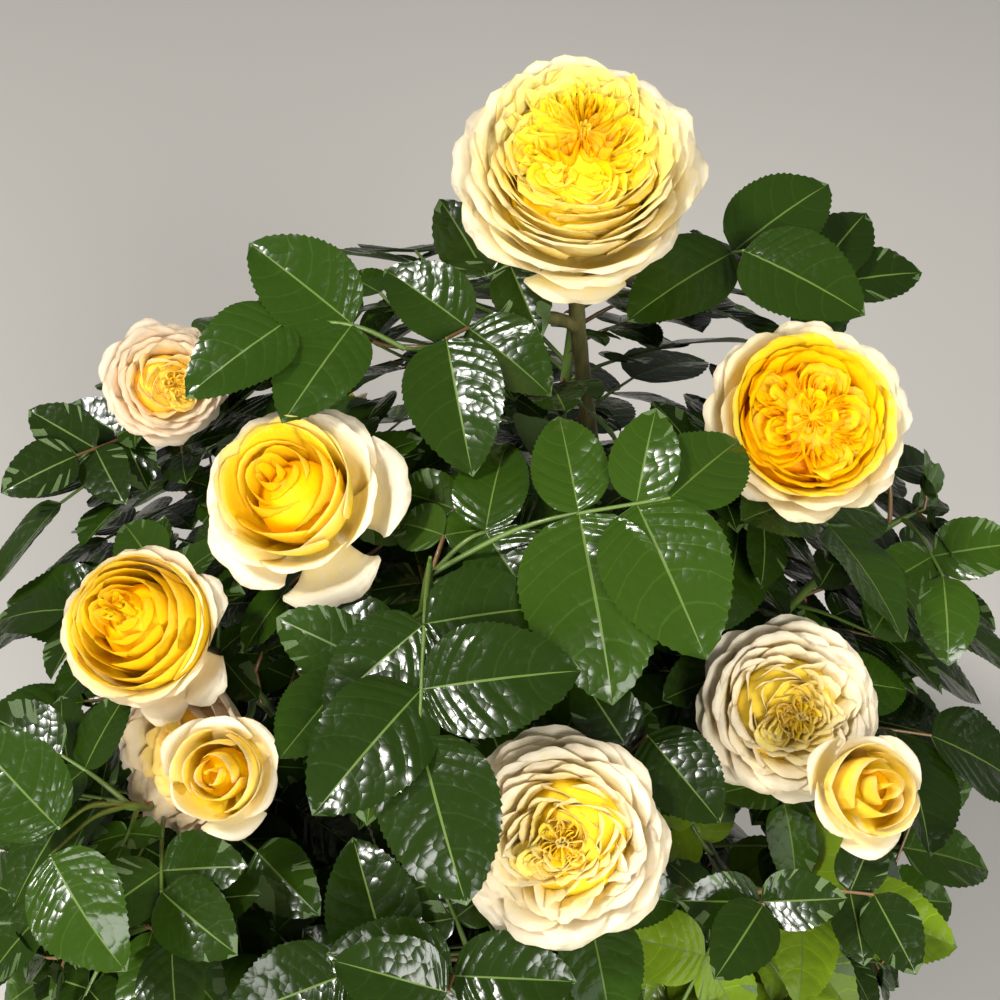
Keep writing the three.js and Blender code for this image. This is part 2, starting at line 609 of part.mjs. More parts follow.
function massPiece(limb) {
  const { curve, radiusAt, row, length } = limb;
  const from = row.split + GAP / length;
  const steps = Math.max(2, Math.round(length * (1 - row.split) / SHOOT.stepLength));
  let mass = bentTube(curve, radiusAt, SHOOT.sides, evenStops(from, 1, steps));
  const stalkRadius = (t) => mix(STALK.radii[0], STALK.radii[1], t);
  for (const stalk of limb.stalks) {
    mass = mass.add(bentTube(stalk, stalkRadius, STALK.sides, evenStops(0, 1, STALK.steps)));
  }
  for (const bloom of limb.blooms) mass = mass.add(bloomSolid(bloom));
  for (const { rachis, leaflets } of limb.leaves) {
    mass = mass.add(rachisSolid(rachis));
    for (const leaflet of leaflets) mass = mass.add(leafletSolid(leaflet));
  }
  return mass;
}

// The assembly

const bush = new THREE.Group();
const stemSolid = mainStem();
bush.add(meshOf('main_stem', stemSolid, COLOURS.stem));
const scale = 1 + GAP / STEM.waist;
const stemClearance = stemSolid.scale([scale, scale, 1 + GAP / STEM.height]);
for (const limb of limbs.values()) {
  const { row } = limb;
  const cane = canePiece(limb);
  bush.add(meshOf(`cane_${row.name}`, row.from ? cane : cane.subtract(stemClearance), COLOURS.cane));
  const colour = limb.blooms.length ? COLOURS.bloomed : COLOURS.foliage;
  bush.add(meshOf(`foliage_${row.name}`, massPiece(limb), colour));
}

export default bush;
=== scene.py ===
# The looks of the rose bush: bark, prickles, shoots, leaves with their veins and teeth, and
# blooms made petal by petal, all around the packed solids.
# The limbs and the leaves follow the same rule as the solids, in millimetres, and every mesh is
# scaled to metres as it is made.
import math
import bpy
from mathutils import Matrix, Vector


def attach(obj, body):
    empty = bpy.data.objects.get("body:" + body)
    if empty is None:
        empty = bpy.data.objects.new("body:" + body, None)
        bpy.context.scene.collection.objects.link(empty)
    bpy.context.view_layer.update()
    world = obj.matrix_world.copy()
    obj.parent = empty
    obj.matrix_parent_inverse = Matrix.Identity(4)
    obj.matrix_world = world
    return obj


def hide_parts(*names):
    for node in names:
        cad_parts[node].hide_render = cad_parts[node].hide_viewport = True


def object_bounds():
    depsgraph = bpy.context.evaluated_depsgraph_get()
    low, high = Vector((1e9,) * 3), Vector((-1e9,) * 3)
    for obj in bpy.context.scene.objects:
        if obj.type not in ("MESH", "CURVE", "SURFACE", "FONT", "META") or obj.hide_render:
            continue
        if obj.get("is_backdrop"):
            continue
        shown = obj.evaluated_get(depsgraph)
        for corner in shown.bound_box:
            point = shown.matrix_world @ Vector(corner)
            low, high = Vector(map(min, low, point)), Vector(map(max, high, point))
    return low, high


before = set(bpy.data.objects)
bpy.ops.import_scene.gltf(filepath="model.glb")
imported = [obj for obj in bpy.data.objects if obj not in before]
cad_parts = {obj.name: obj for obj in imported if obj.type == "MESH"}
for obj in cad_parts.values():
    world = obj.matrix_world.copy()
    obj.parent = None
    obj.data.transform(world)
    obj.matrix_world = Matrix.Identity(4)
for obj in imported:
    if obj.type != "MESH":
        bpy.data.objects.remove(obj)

from types import SimpleNamespace as Sizes
from typing import NamedTuple

import bpy
import numpy as np

CAD_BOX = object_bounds()
MM = 0.001
ROOT = "root"

# The plant's driving sizes, in millimetres and degrees, as in the solids

STEM = Sizes(height=76, foot=23, waist=13, head=17, flare=15, lean=(5, 6), bow=1.5, swell_from=30,
             swell_span=60)
CANE = Sizes(rise=0.36, arrive=0.26, root_depth=7, side_root=0.5, lean=33, turn_away=0.8)
STALK = Sizes(leave=0.4, arrive=0.35)
LEAFLET = Sizes(width=0.72, widest=0.45, fold=0.06, droop=0.08)
LEAF = Sizes(petiole=0.5, petiolule=0.28, spacing=0.48, upper=0.92, lower=0.78, tilt=(0.05, -0.1), stray=7,
             variety=(0.93, 1.05), at_straight=0.9, fewest=3)
NODES = Sizes(spacing=23, turn=137.5, every=2, below_tip=24, above_split=8)
CLEAR = Sizes(fringe=30, limb=8, bloom=3, blade=1.8, twig=6, crowd=0.35, reach=0.6)
LINE_STEPS = Sizes(limb=24, stalk=6)
CROWN = Sizes(centre=(-5, -10, 350), radii=(285, 262, 335), lowest=70)
GROWTH = Sizes(up=0.8, out=0.45, jitter=0.3, aside=0.8, along=0.6, flatten=0.4, spare=0.12, stray=18,
               size=(56, 72), rise=(-0.2, 0.3), spread=(64, 82), hang=(0.1, 0.45), first=(0.3, 1, 0.2))
HERO = Sizes(faces=(-0.08, -0.52, 0.85), bend_at=0.6, lift=0.12)
SEEDS = Sizes(hero=9000, limb=1000, pairs=7000, leaf=40000, leaves_of_limb=500, tuft=52000, prickles=61000,
              bloom=77000)

# Each row is one cane with the mass at its end: its name, where it starts (a height and an azimuth
# on the main stem, or a parent cane and a fraction of its length), the tip that it runs to, the
# azimuth and elevation that it faces there, its radii, and where the mass takes over
LIMB_ROWS = [
    ("top", (70, 115), (33, 58, 657), (0, 60), (6, 3.6), 0.93),
    ("right", (60, 65), (129, -3, 585), (8, 52), (5.4, 3), 0.55),
    ("centre_left", (64, -58), (-80, -36, 567), (-12, 56), (5, 3), 0.55),
    ("front", (58, 5), (29, -142, 489), (-3, 47), (5.2, 3), 0.5),
    ("left", (54, -115), (-148, -59, 519), (-15, 52), (5, 2.8), 0.5),
    ("back", (66, 180), (44, 158, 597), (170, 60), (5.4, 3), 0.5),
    ("centre", ("centre_left", 0.4), (-28, -80, 585), (10, 70), (4, 2.4), 0.35),
    ("top_left", ("top", 0.84), (-44, 12, 622), (-70, 30), (3.2, 2.2), 0.3),
    ("top_right", ("top", 0.87), (122, 74, 630), (95, 25), (3.2, 2.2), 0.4),
    ("far_left", ("left", 0.3), (-168, 72, 554), (25, 45), (4, 2.4), 0.35),
    ("front_left", ("left", 0.44), (-168, -126, 484), (-40, 55), (3.6, 2.2), 0.3),
    ("right_front", ("right", 0.3), (128, -64, 473), (0, 50), (4.2, 2.6), 0.4),
    ("far_right", ("right", 0.48), (206, 20, 520), (75, 40), (3.6, 2.2), 0.3),
    ("back_left", ("back", 0.34), (-98, 144, 442), (-145, 52), (4.2, 2.6), 0.4),
    ("back_right", ("back", 0.42), (160, 114, 450), (118, 48), (4, 2.5), 0.35),
    ("front_low", ("front", 0.4), (-18, -190, 462), (-20, 45), (3.6, 2.2), 0.3),
    ("low_right", ("right_front", 0.3), (112, -150, 440), (25, 40), (3.4, 2.1), 0.35),
    ("low_left", ("left", 0.24), (-200, -150, 400), (-60, 10), (3.8, 2.1), 0.3),
    ("skirt_front", (44, -25), (-40, -196, 270), (-10, 25), (4, 2.1), 0.35),
    ("skirt_right", (46, 38), (205, -90, 290), (60, 25), (4, 2.1), 0.35),
    ("skirt_left", (42, -90), (-225, 20, 300), (-90, 25), (4, 2.1), 0.35),
    ("skirt_back", (48, -155), (-60, 205, 330), (-165, 30), (4, 2.1), 0.35),
    ("skirt_back_right", (50, 135), (180, 120, 330), (120, 30), (4, 2.1), 0.35),
]

# Blooms: the mass, the look, the radius and the depth; one that isn't on the mass's tip has a stalk
# from a fraction of the mass's stem to its own tip, and the azimuth and elevation that it faces
BLOOM_ROWS = [
    ("top", "rosette", 53, 44, None),
    ("right", "cup", 42, 34, None),
    ("centre_left", "open", 42, 32, None),
    ("left", "cup", 34, 32, None),
    ("left", "bud", 25, 26, (0.62, (-114, -118, 496), (-5, 50))),
    ("left", "spent", 33, 24, (0.45, (-124, -84, 478), (-42, 28))),
    ("front", "rosette", 43, 36, None),
    ("right_front", "rosette", 40, 33, None),
    ("right_front", "bud", 25, 28, (0.6, (150, -118, 481), (20, 54))),
    ("far_left", "spent", 30, 23, None),
    ("back_left", "cup", 38, 32, None),
    ("back", "rosette", 42, 34, None),
    ("back_right", "open", 38, 30, None),
]
BLOOM = Sizes(middle=0.8, thick=0.62)

# The leaves that the front view shows by themselves: mass, where on its stem, joint, tip of the end
# leaflet, leaflet lengths, and the angle for each pair that it stands out at. A last entry is for pairs
# that are askew, with their two sides at different shares of their length, or further from the joint.
HERO_ROWS = [
    ("centre", 0.97, (-30, -154, 565), (-14, -200, 530), (64, 64, 54), (69, 80),
     {"askew": 24, "shares": (0.95, 1)}),
    ("centre", 0.9, (67, -72, 610), (100, -36, 614), (48, 68, 78), (70, 94), {"shares": (1, 0.62)}),
    ("top_left", 0.95, (-88, 8, 640), (-130, -22, 624), (55, 54), (44,), {"askew": 12, "back": 0.5}),
    ("top_left", 0.3, (-23, 10, 628), (-13, -38, 601), (62, 50), (80,)),
    ("top", 0.3, (-6, 54, 631), (-26, 78, 656), (42, 40), (80,)),
    ("top_right", 0.6, (108, 53, 645), (152, 24, 638), (60, 60), (88,)),
    ("top_right", 0.98, (158, 72, 616), (192, 78, 618), (42, 42), (75,)),
    ("front", 0.7, (62, -112, 512), (88, -146, 502), (46, 42), (75,)),
    ("front_left", 0.97, (-173, -160, 515), (-206, -134, 534), (56,), ()),
    ("front_left", 0.9, (-177, -166, 505), (-150, -200, 490), (54,), ()),
    ("front_left", 0.7, (-140, -160, 470), (-110, -184, 466), (42, 40), (70,)),
    ("front_low", 0.97, (-20, -210, 480), (-62, -206, 496), (46, 50), (85,)),
    ("far_left", 0.7, (-208, 44, 534), (-242, 24, 528), (40, 38, 34), (72, 72)),
    ("far_right", 0.9, (208, -18, 512), (208, -54, 490), (42, 40), (80,)),
    ("low_right", 0.95, (108, -166, 470), (88, -194, 468), (38, 34), (75,)),
    ("low_right", 0.8, (160, -150, 452), (176, -180, 436), (36, 32), (70,)),
]

# Smaller leaves between the nodes, where there is still room: how much smaller, and how far along
FILLING = [(0.72, 0.5), (0.55, 0.25)]
TRIES = Sizes(shapes=((1, 2), (0.92, 1), (0.8, 1), (0.68, 1)), swings=(0, 35, -35, 70, -70, 110, -110, 150))


# Points and directions


def point(xyz):
    return np.array(xyz, float)


def unit(vector):
    return vector / np.linalg.norm(vector)


def compass(azimuth, elevation):
    a, e = math.radians(azimuth), math.radians(elevation)
    return point((math.sin(a) * math.cos(e), -math.cos(a) * math.cos(e), math.sin(e)))


def mix(a, b, t):
    return a + (b - a) * t


def square_to(direction, axis):
    """The part of a direction that is square to another one."""
    return unit(direction - axis * (direction @ axis))


def turned(vector, axis, degrees):
    a = math.radians(degrees)
    along = axis * (axis @ vector) * (1 - math.cos(a))
    return vector * math.cos(a) + np.cross(axis, vector) * math.sin(a) + along


def random_from(seed):
    """The same small seeded generator of numbers from 0 to 1 as in the solids."""
    mask = 0xFFFFFFFF
    state = seed & mask

    def draw():
        nonlocal state
        state = (state + 0x6D2B79F5) & mask
        mixed = ((state ^ (state >> 15)) * (state | 1)) & mask
        mixed = ((mixed + (((mixed ^ (mixed >> 7)) * (mixed | 61)) & mask)) & mask) ^ mixed
        return (mixed ^ (mixed >> 14)) / 4294967296

    return draw


class Curve:
    """A cubic Bezier curve."""

    def __init__(self, *controls):
        self.controls = np.array(controls, float)

    def at(self, t):
        t = np.asarray(t, float)[..., None]
        a, b, c, d = self.controls
        return a * (1 - t) ** 3 + 3 * b * t * (1 - t) ** 2 + 3 * c * t * t * (1 - t) + d * t**3

    def tangent(self, t, delta=1e-4):
        return unit(self.at(min(1, t + delta)) - self.at(max(0, t - delta)))

    def line(self, steps):
        return self.at(np.linspace(0, 1, steps + 1))

    def length(self):
        return np.linalg.norm(np.diff(self.line(200), axis=0), axis=1).sum()


# Limbs, stalks and blooms


def stem_axis(height):
    lean = np.asarray(height / STEM.height) ** STEM.bow
    return np.stack([STEM.lean[0] * lean, STEM.lean[1] * lean, height + 0 * lean], -1)


def limb_curve(origin, tip, facing, radii, limbs):
    if isinstance(origin[0], str):
        parent = limbs[origin[0]].curve
        along = parent.tangent(origin[1])
        towards = unit(tip - parent.at(origin[1]))
        start = parent.at(origin[1]) + square_to(towards, along) * radii[0] * CANE.side_root
        leave = unit(along + towards * CANE.turn_away)
    else:
        height, azimuth = origin
        start = stem_axis(height) + compass(azimuth, 0) * CANE.root_depth
        leave = compass(azimuth, 90 - CANE.lean)
    span = np.linalg.norm(tip - start)
    return Curve(start, start + leave * span * CANE.rise, tip - compass(*facing) * span * CANE.arrive, tip)


def make_limbs():
    limbs = {}
    for index, (name, origin, tip, facing, radii, split) in enumerate(LIMB_ROWS):
        curve = limb_curve(origin, point(tip), facing, radii, limbs)
        limbs[name] = Sizes(
            name=name, index=index, curve=curve, tip=curve.at(1), length=curve.length(), radii=radii,
            split=split, lines=[curve.line(LINE_STEPS.limb)], leaves=[], stalks=[], blooms=[],
        )
    return limbs


def make_blooms(limbs):
    blooms = []
    for name, style, radius, deep, own in BLOOM_ROWS:
        limb = limbs[name]
        if own:
            at, tip, facing = own
            tip, axis = point(tip), compass(*facing)
            fork = mix(limb.split, 1, at)
            start = limb.curve.at(fork)
            span = np.linalg.norm(tip - start)
            bends = (start + limb.curve.tangent(fork) * span * STALK.leave, tip - axis * span * STALK.arrive)
            stalk = Curve(start, *bends, tip)
            limb.stalks.append(stalk)
            limb.lines.append(stalk.line(LINE_STEPS.stalk))
        else:
            tip, axis = limb.tip, limb.curve.tangent(1)
        bloom = Sizes(limb=limb, style=style, radius=radius, deep=deep, tip=tip, axis=axis,
                      centre=tip + axis * deep * BLOOM.middle)
        limb.blooms.append(bloom)
        blooms.append(bloom)
    return blooms


# Compound leaves


def leaflet_at(base, along, up, length):
    """A leaflet's place, and the flat kite that the space rules need: base, right, tip and left."""
    over = square_to(up, along)
    across = np.cross(along, over)
    middle = base + along * length * LEAFLET.widest + over * length * LEAFLET.fold
    half = length * LEAFLET.width / 2
    tip = base + along * length - over * length * LEAFLET.droop
    kite = np.array([base, middle + across * half, tip, middle - across * half])
    return Sizes(base=base, along=along, over=over, across=across, length=length, kite=kite,
                 middle=base + along * length / 2)


def leaflets_on(rachis, end_tip, up, lengths, spread, random, askew=0, shares=(1, 1), back=LEAF.petiolule):
    """One leaflet at the rachis's joint, and a pair for each length after the first."""
    _, bend, joint = rachis
    size = lengths[0]
    leaflets = [leaflet_at(joint, unit(end_tip - joint), up, size)]
    straight = np.linalg.norm(joint - bend)
    tangent = unit(joint - bend)
    over = square_to(up, tangent)
    for pair in range(1, len(lengths)):
        behind = size * (back + LEAF.spacing * (pair - 1))
        base = joint - tangent * min(behind, straight * LEAF.at_straight)
        for side, share in zip((-1, 1), shares):
            angle = side * (spread[pair - 1] + mix(-LEAF.stray, LEAF.stray, random())) + askew
            along = unit(turned(tangent, over, angle) + over * LEAF.tilt[pair - 1])
            length = lengths[pair] * share * mix(*LEAF.variety, random())
            leaflets.append(leaflet_at(base, along, up, length))
    return leaflets


def blade_points(kite):
    base, right, tip, left = kite
    middle = (right + left) / 2
    halfway = [(end + side) / 2 for end in (base, tip) for side in (right, left, middle)]
    return np.array([base, right, tip, left, middle, *halfway])


# The space rules


def to_segments(points, starts, ends):
    """The distance of each point to each segment."""
    run = ends - starts
    from_start = points[:, None] - starts
    share = np.clip((from_start * run).sum(-1) / (run * run).sum(-1), 0, 1)
    return np.linalg.norm(from_start - run * share[..., None], axis=-1)


def segments_of(lines):
    starts = np.concatenate([line[:-1] for line in lines])
    ends = np.concatenate([line[1:] for line in lines])
    return starts, ends


def pierced(starts, ends, triangles):
    """Whether any segment passes through any triangle."""
    if not len(starts) or not len(triangles):
        return False
    run = (ends - starts)[:, None]
    a = triangles[None, :, 0]
    edge1 = triangles[None, :, 1] - a
    edge2 = triangles[None, :, 2] - a
    h = np.cross(run, edge2)
    facing = (edge1 * h).sum(-1)
    facing = np.where(np.abs(facing) < 1e-12, np.nan, facing)
    s = starts[:, None] - a
    q = np.cross(s, edge1)
    with np.errstate(invalid="ignore"):
        u = (s * h).sum(-1) / facing
        v = (run * q).sum(-1) / facing
        t = (edge2 * q).sum(-1) / facing
        return bool(((u >= 0) & (v >= 0) & (u + v <= 1) & (t >= 0) & (t < 1)).any())


def halves(kites):
    """The two triangles of each kite."""
    kites = np.asarray(kites).reshape(-1, 4, 3)
    return np.concatenate([kites[:, [0, 1, 2]], kites[:, [0, 2, 3]]])


def edges(kites):
    """The four sides and the midrib of each kite, as starts and ends."""
    kites = np.asarray(kites).reshape(-1, 4, 3)
    return kites[:, [0, 1, 2, 3, 0]].reshape(-1, 3), kites[:, [1, 2, 3, 0, 2]].reshape(-1, 3)


class Space:
    """What is placed already, and whether a twig or a leaflet has room."""

    def __init__(self, limbs, blooms):
        self.limbs = limbs
        segments = [segments_of(limb.lines) for limb in limbs.values()]
        self.starts = np.concatenate([s for s, _ in segments])
        self.ends = np.concatenate([e for _, e in segments])
        self.first = np.cumsum([0] + [len(s) for s, _ in segments[:-1]])
        self.centres = np.array([b.centre for b in blooms])
        self.axes = np.array([b.axis for b in blooms])
        self.radii = np.array([b.radius + CLEAR.bloom for b in blooms])
        self.halves = np.array([b.deep * BLOOM.thick + CLEAR.bloom for b in blooms])
        self.kites = np.zeros((0, 4, 3))
        self.middles = np.zeros((0, 3))
        self.lengths = np.zeros(0)
        self.twigs = np.zeros((0, 3, 3))

    def inside_bloom(self, points):
        away = points[:, None] - self.centres
        high = (away * self.axes).sum(-1)
        out2 = np.maximum(0, (away * away).sum(-1) - high * high)
        return (out2 / self.radii**2 + (high / self.halves) ** 2 < 1).any(-1)

    def inside_crown(self, points):
        share = (points - CROWN.centre) / CROWN.radii
        return ((share * share).sum(-1) < 1) & (points[:, 2] > CROWN.lowest)

    def own_space(self, points, limb):
        away = np.minimum.reduceat(to_segments(points, self.starts, self.ends), self.first, axis=1)
        own = away[:, limb.index].copy()
        away[:, limb.index] = np.inf
        nearest = away.min(1)
        return (own >= CLEAR.limb) & (nearest >= CLEAR.limb) & (nearest >= own - CLEAR.fringe)

    def blade_is_free(self, leaflet):
        apart = np.linalg.norm(self.middles - leaflet.middle, axis=1)
        near = apart < (leaflet.length + self.lengths) * CLEAR.reach
        if (apart[near] < leaflet.length * CLEAR.crowd).any():
            return False
        shifts = np.array([-CLEAR.blade, 0, CLEAR.blade])[:, None, None] * leaflet.over
        kites = leaflet.kite + shifts
        others = self.kites[near]
        if pierced(*edges(kites), halves(others)) or pierced(*edges(others), halves(kites)):
            return False
        return not pierced(*segments_of(self.twigs), halves(kites))

    def leaflet_fits(self, leaflet, limb):
        points = blade_points(leaflet.kite)
        if not self.inside_crown(points).all() or self.inside_bloom(points).any():
            return False
        return self.own_space(points[1:], limb).all() and self.blade_is_free(leaflet)

    def twig_fits(self, line, limb):
        free = line[1:]
        if self.inside_bloom(free).any() or not self.own_space(free, limb).all():
            return False
        if pierced(line[:-1], line[1:], halves(self.kites)):
            return False
        return not len(self.twigs) or (to_segments(free, *segments_of(self.twigs)) > CLEAR.twig).all()

    def keep(self, limb, rachis, leaflets, up):
        limb.leaves.append(Sizes(rachis=rachis, leaflets=leaflets, up=up))
        self.kites = np.concatenate([self.kites, [leaflet.kite for leaflet in leaflets]])
        self.middles = np.concatenate([self.middles, [leaflet.middle for leaflet in leaflets]])
        self.lengths = np.concatenate([self.lengths, [leaflet.length for leaflet in leaflets]])
        self.twigs = np.concatenate([self.twigs, [rachis]])


def place_heroes(space):
    up = unit(point(HERO.faces))
    for index, (name, at, joint, tip, lengths, spread, *pairs) in enumerate(HERO_ROWS):
        limb = space.limbs[name]
        start, joint = limb.curve.at(mix(limb.split, 1, at)), point(joint)
        bend = mix(joint, start, HERO.bend_at)
        bend[2] += np.linalg.norm(start - joint) * HERO.lift
        rachis = np.array([start, bend, joint])
        random = random_from(SEEDS.hero + index)
        askew = pairs[0] if pairs else {}
        leaflets = leaflets_on(rachis, point(tip), up, lengths, spread, random, **askew)
        space.keep(limb, rachis, leaflets, up)


def leaf_at_node(space, limb, index, small=1.0):
    """The compound leaf of one node of a shoot, at the first angle and size that have room."""
    t = 1 - (NODES.below_tip + index * NODES.spacing) / limb.length
    if (t - limb.split) * limb.length < NODES.above_split:
        return
    random = random_from(SEEDS.limb * limb.index + int(index / small) + 1)
    start, tangent = limb.curve.at(t), limb.curve.tangent(t)
    aside = square_to(point(GROWTH.first), tangent)
    turn = index * NODES.turn + mix(-GROWTH.stray, GROWTH.stray, random())
    size = mix(*GROWTH.size, random()) * small
    outward = unit(start * (1, 1, 0))
    up = point((0, 0, GROWTH.up)) + outward * GROWTH.out
    up[0] += GROWTH.jitter * (random() - 0.5)
    up[1] += GROWTH.jitter * (random() - 0.5)
    up = unit(up)
    rise, spread, hang = (mix(*span, random()) for span in (GROWTH.rise, GROWTH.spread, GROWTH.hang))
    for scale, pairs in TRIES.shapes:
        for swing in TRIES.swings:
            away = turned(aside, tangent, turn + swing)
            leave = unit(away * GROWTH.aside + tangent * GROWTH.along)
            reach = away + outward * GROWTH.out
            reach[2] = reach[2] * GROWTH.flatten + rise
            reach = unit(reach)
            long = size * scale
            bend = start + leave * long * LEAF.petiole
            joint = bend + reach * long * (LEAF.petiolule + LEAF.spacing * (pairs - 1) + GROWTH.spare)
            rachis = np.array([start, bend, joint])
            if not space.twig_fits(rachis, limb):
                continue
            lengths = (long, long * LEAF.upper, long * LEAF.lower)[: pairs + 1]
            tip = joint + reach * long - point((0, 0, hang * long))
            pair_random = random_from(SEEDS.pairs + int(index / small))
            leaflets = leaflets_on(rachis, tip, up, lengths, (spread, spread), pair_random)
            if not space.leaflet_fits(leaflets[0], limb):
                continue
            fitting = [leaflet for leaflet in leaflets if space.leaflet_fits(leaflet, limb)]
            if len(fitting) >= LEAF.fewest:
                space.keep(limb, rachis, fitting, up)
                return


def place_leaves(space):
    """The solids' leaves on every second node, and then the finer ones on the nodes between."""
    place_heroes(space)
    most = max(limb.length for limb in space.limbs.values()) / NODES.spacing
    for first in range(NODES.every):
        for index in range(first, math.ceil(most), NODES.every):
            for limb in space.limbs.values():
                leaf_at_node(space, limb, index)
    for small, offset in FILLING:
        for index in range(math.ceil(most)):
            for limb in space.limbs.values():
                leaf_at_node(space, limb, index + offset, small)


# Meshes


def add_object(name, data):
    made = bpy.data.objects.new(name, data)
    bpy.context.scene.collection.objects.link(made)
    return made


class Pile:
    """Points and faces gathered for one mesh, with the material of each face."""

    def __init__(self):
        self.points, self.corners, self.sizes, self.slots, self.sides, self.count = [], [], [], [], [], 0

    def add_faces(self, corners, slots, sides):
        """Faces on the points that are added next: corner indices, one face a row, with a material index
        and the side of the sheet that it is on for each, or for all. Edges between two sides are sharp."""
        corners = np.asarray(corners)
        self.corners.append((corners + self.count).ravel())
        self.sizes.append(np.full(len(corners), corners.shape[1]))
        self.slots.append(np.broadcast_to(slots, len(corners)))
        self.sides.append(np.broadcast_to(sides, len(corners)).astype(int))

    def add_points(self, points):
        self.points.append(np.reshape(points, (-1, 3)))
        self.count += len(self.points[-1])

    def build(self, name, materials, slot, nodes):
        mesh = bpy.data.meshes.new(name)
        points, corners = np.concatenate(self.points) * MM, np.concatenate(self.corners)
        sizes, slots = np.concatenate(self.sizes), np.concatenate(self.slots)
        mesh.vertices.add(len(points))
        mesh.vertices.foreach_set("co", points.astype(np.float32).ravel())
        mesh.loops.add(len(corners))
        mesh.polygons.add(len(sizes))
        mesh.polygons.foreach_set("loop_start", (np.cumsum(sizes) - sizes).astype(np.int32))
        mesh.polygons.foreach_set("vertices", corners.astype(np.int32))
        mesh.polygons.foreach_set("material_index", slots.astype(np.int32))
        mesh.update(calc_edges=True)
        edge_of = np.zeros(len(corners), np.int32)
        mesh.loops.foreach_get("edge_index", edge_of)
        side_of = np.repeat(np.concatenate(self.sides), sizes)
        sides_met = np.zeros((len(mesh.edges), 2), bool)
        sides_met[edge_of, side_of] = True
        sharp = mesh.attributes.new("sharp_edge", "BOOLEAN", "EDGE")
        sharp.data.foreach_set("value", sides_met.all(1))
        mesh.shade_smooth()
        for material in materials:
            mesh.materials.append(material)
        piece = add_object(name, mesh)
        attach(piece, ROOT)
        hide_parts(*nodes)


def grid_faces(rows, columns, wrap=False):
    """The quads between rows of points, with the first and last columns joined if it wraps."""
    index = np.arange(rows * columns).reshape(rows, columns)
    right = np.roll(index, -1, 1) if wrap else index[:, 1:]
    left = index if wrap else index[:, :-1]
    return np.stack([left[:-1], right[:-1], right[1:], left[1:]], -1).reshape(-1, 4)


def square_along(line):
    """Two square directions at each point of a line, carried on without twist."""
    tangents = np.gradient(line, axis=0)
    tangents /= np.linalg.norm(tangents, axis=1)[:, None]
    first = point((0, 1, 0)) if abs(tangents[0, 1]) < 0.8 else point((1, 0, 0))
    across = [square_to(first, tangents[0])]
    for tangent in tangents[1:]:
        across.append(square_to(across[-1], tangent))
    return np.array(across), np.cross(tangents, across)


def tube(pile, line, radii, sides, slot, relief=None):
    """A closed tube along a line of points; relief scales the radius at each ring and side."""
    line, radii = np.asarray(line), np.broadcast_to(radii, len(line))
    across, over = square_along(line)
    angles = np.arange(sides) / sides * 2 * math.pi
    out = across[:, None] * np.cos(angles)[:, None] + over[:, None] * np.sin(angles)[:, None]
    grown = radii[:, None] * (1 if relief is None else relief(np.arange(len(line)), angles))
    points = line[:, None] + out * np.broadcast_to(grown, (len(line), sides))[..., None]
    pile.add_faces(grid_faces(len(line), sides, wrap=True), slot, 0)
    ring, following = np.arange(sides), np.roll(np.arange(sides), -1)
    ends, top = len(line) * sides, (len(line) - 1) * sides
    pile.add_faces(np.stack([np.full(sides, ends), following, ring], -1), slot, 1)
    pile.add_faces(np.stack([np.full(sides, ends + 1), top + ring, top + following], -1), slot, 1)
    pile.add_points(np.concatenate([points.reshape(-1, 3), line[[0, -1]]]))


# Leaflets

# Rows run from the midrib to the margin along the side veins: in each of the spaces between two
# veins, the vein's own narrow strip and then the rows of the swelling beside it
BLADE = Sizes(first_vein=0.09, last_vein=0.94, strip=0.07, sweep=0.24, bend=1.5, base_power=0.5,
              tip_power=0.8, tooth=0.014, swelling=0.008, groove=0.004, rib=0.02, thick=0.018,
              edge_drop=0.015, wave=0.02, pucker=(0.2, 1.5), slant=0.04, twist=0.14)
# How leaflets differ: shares of the usual fold and droop, the arch over the length, and the waves
VARIED = Sizes(fold=(0.5, 1.6), droop=(0.6, 1.5), arch=(0, 0.035), wavy=(0.2, 1.1), waves=(2.2, 4.2),
               phase=(0, 6.28))
BLADE_KIND, VEIN_KIND, UNDER_KIND, MIDRIB_KIND = range(4)


def half_width(s):
    """The half width of the blade, as a share of its greatest, at a share of its length."""
    peak = BLADE.base_power / (BLADE.base_power + BLADE.tip_power)
    most = peak**BLADE.base_power * (1 - peak) ** BLADE.tip_power
    return s**BLADE.base_power * np.maximum(0, 1 - s) ** BLADE.tip_power / most


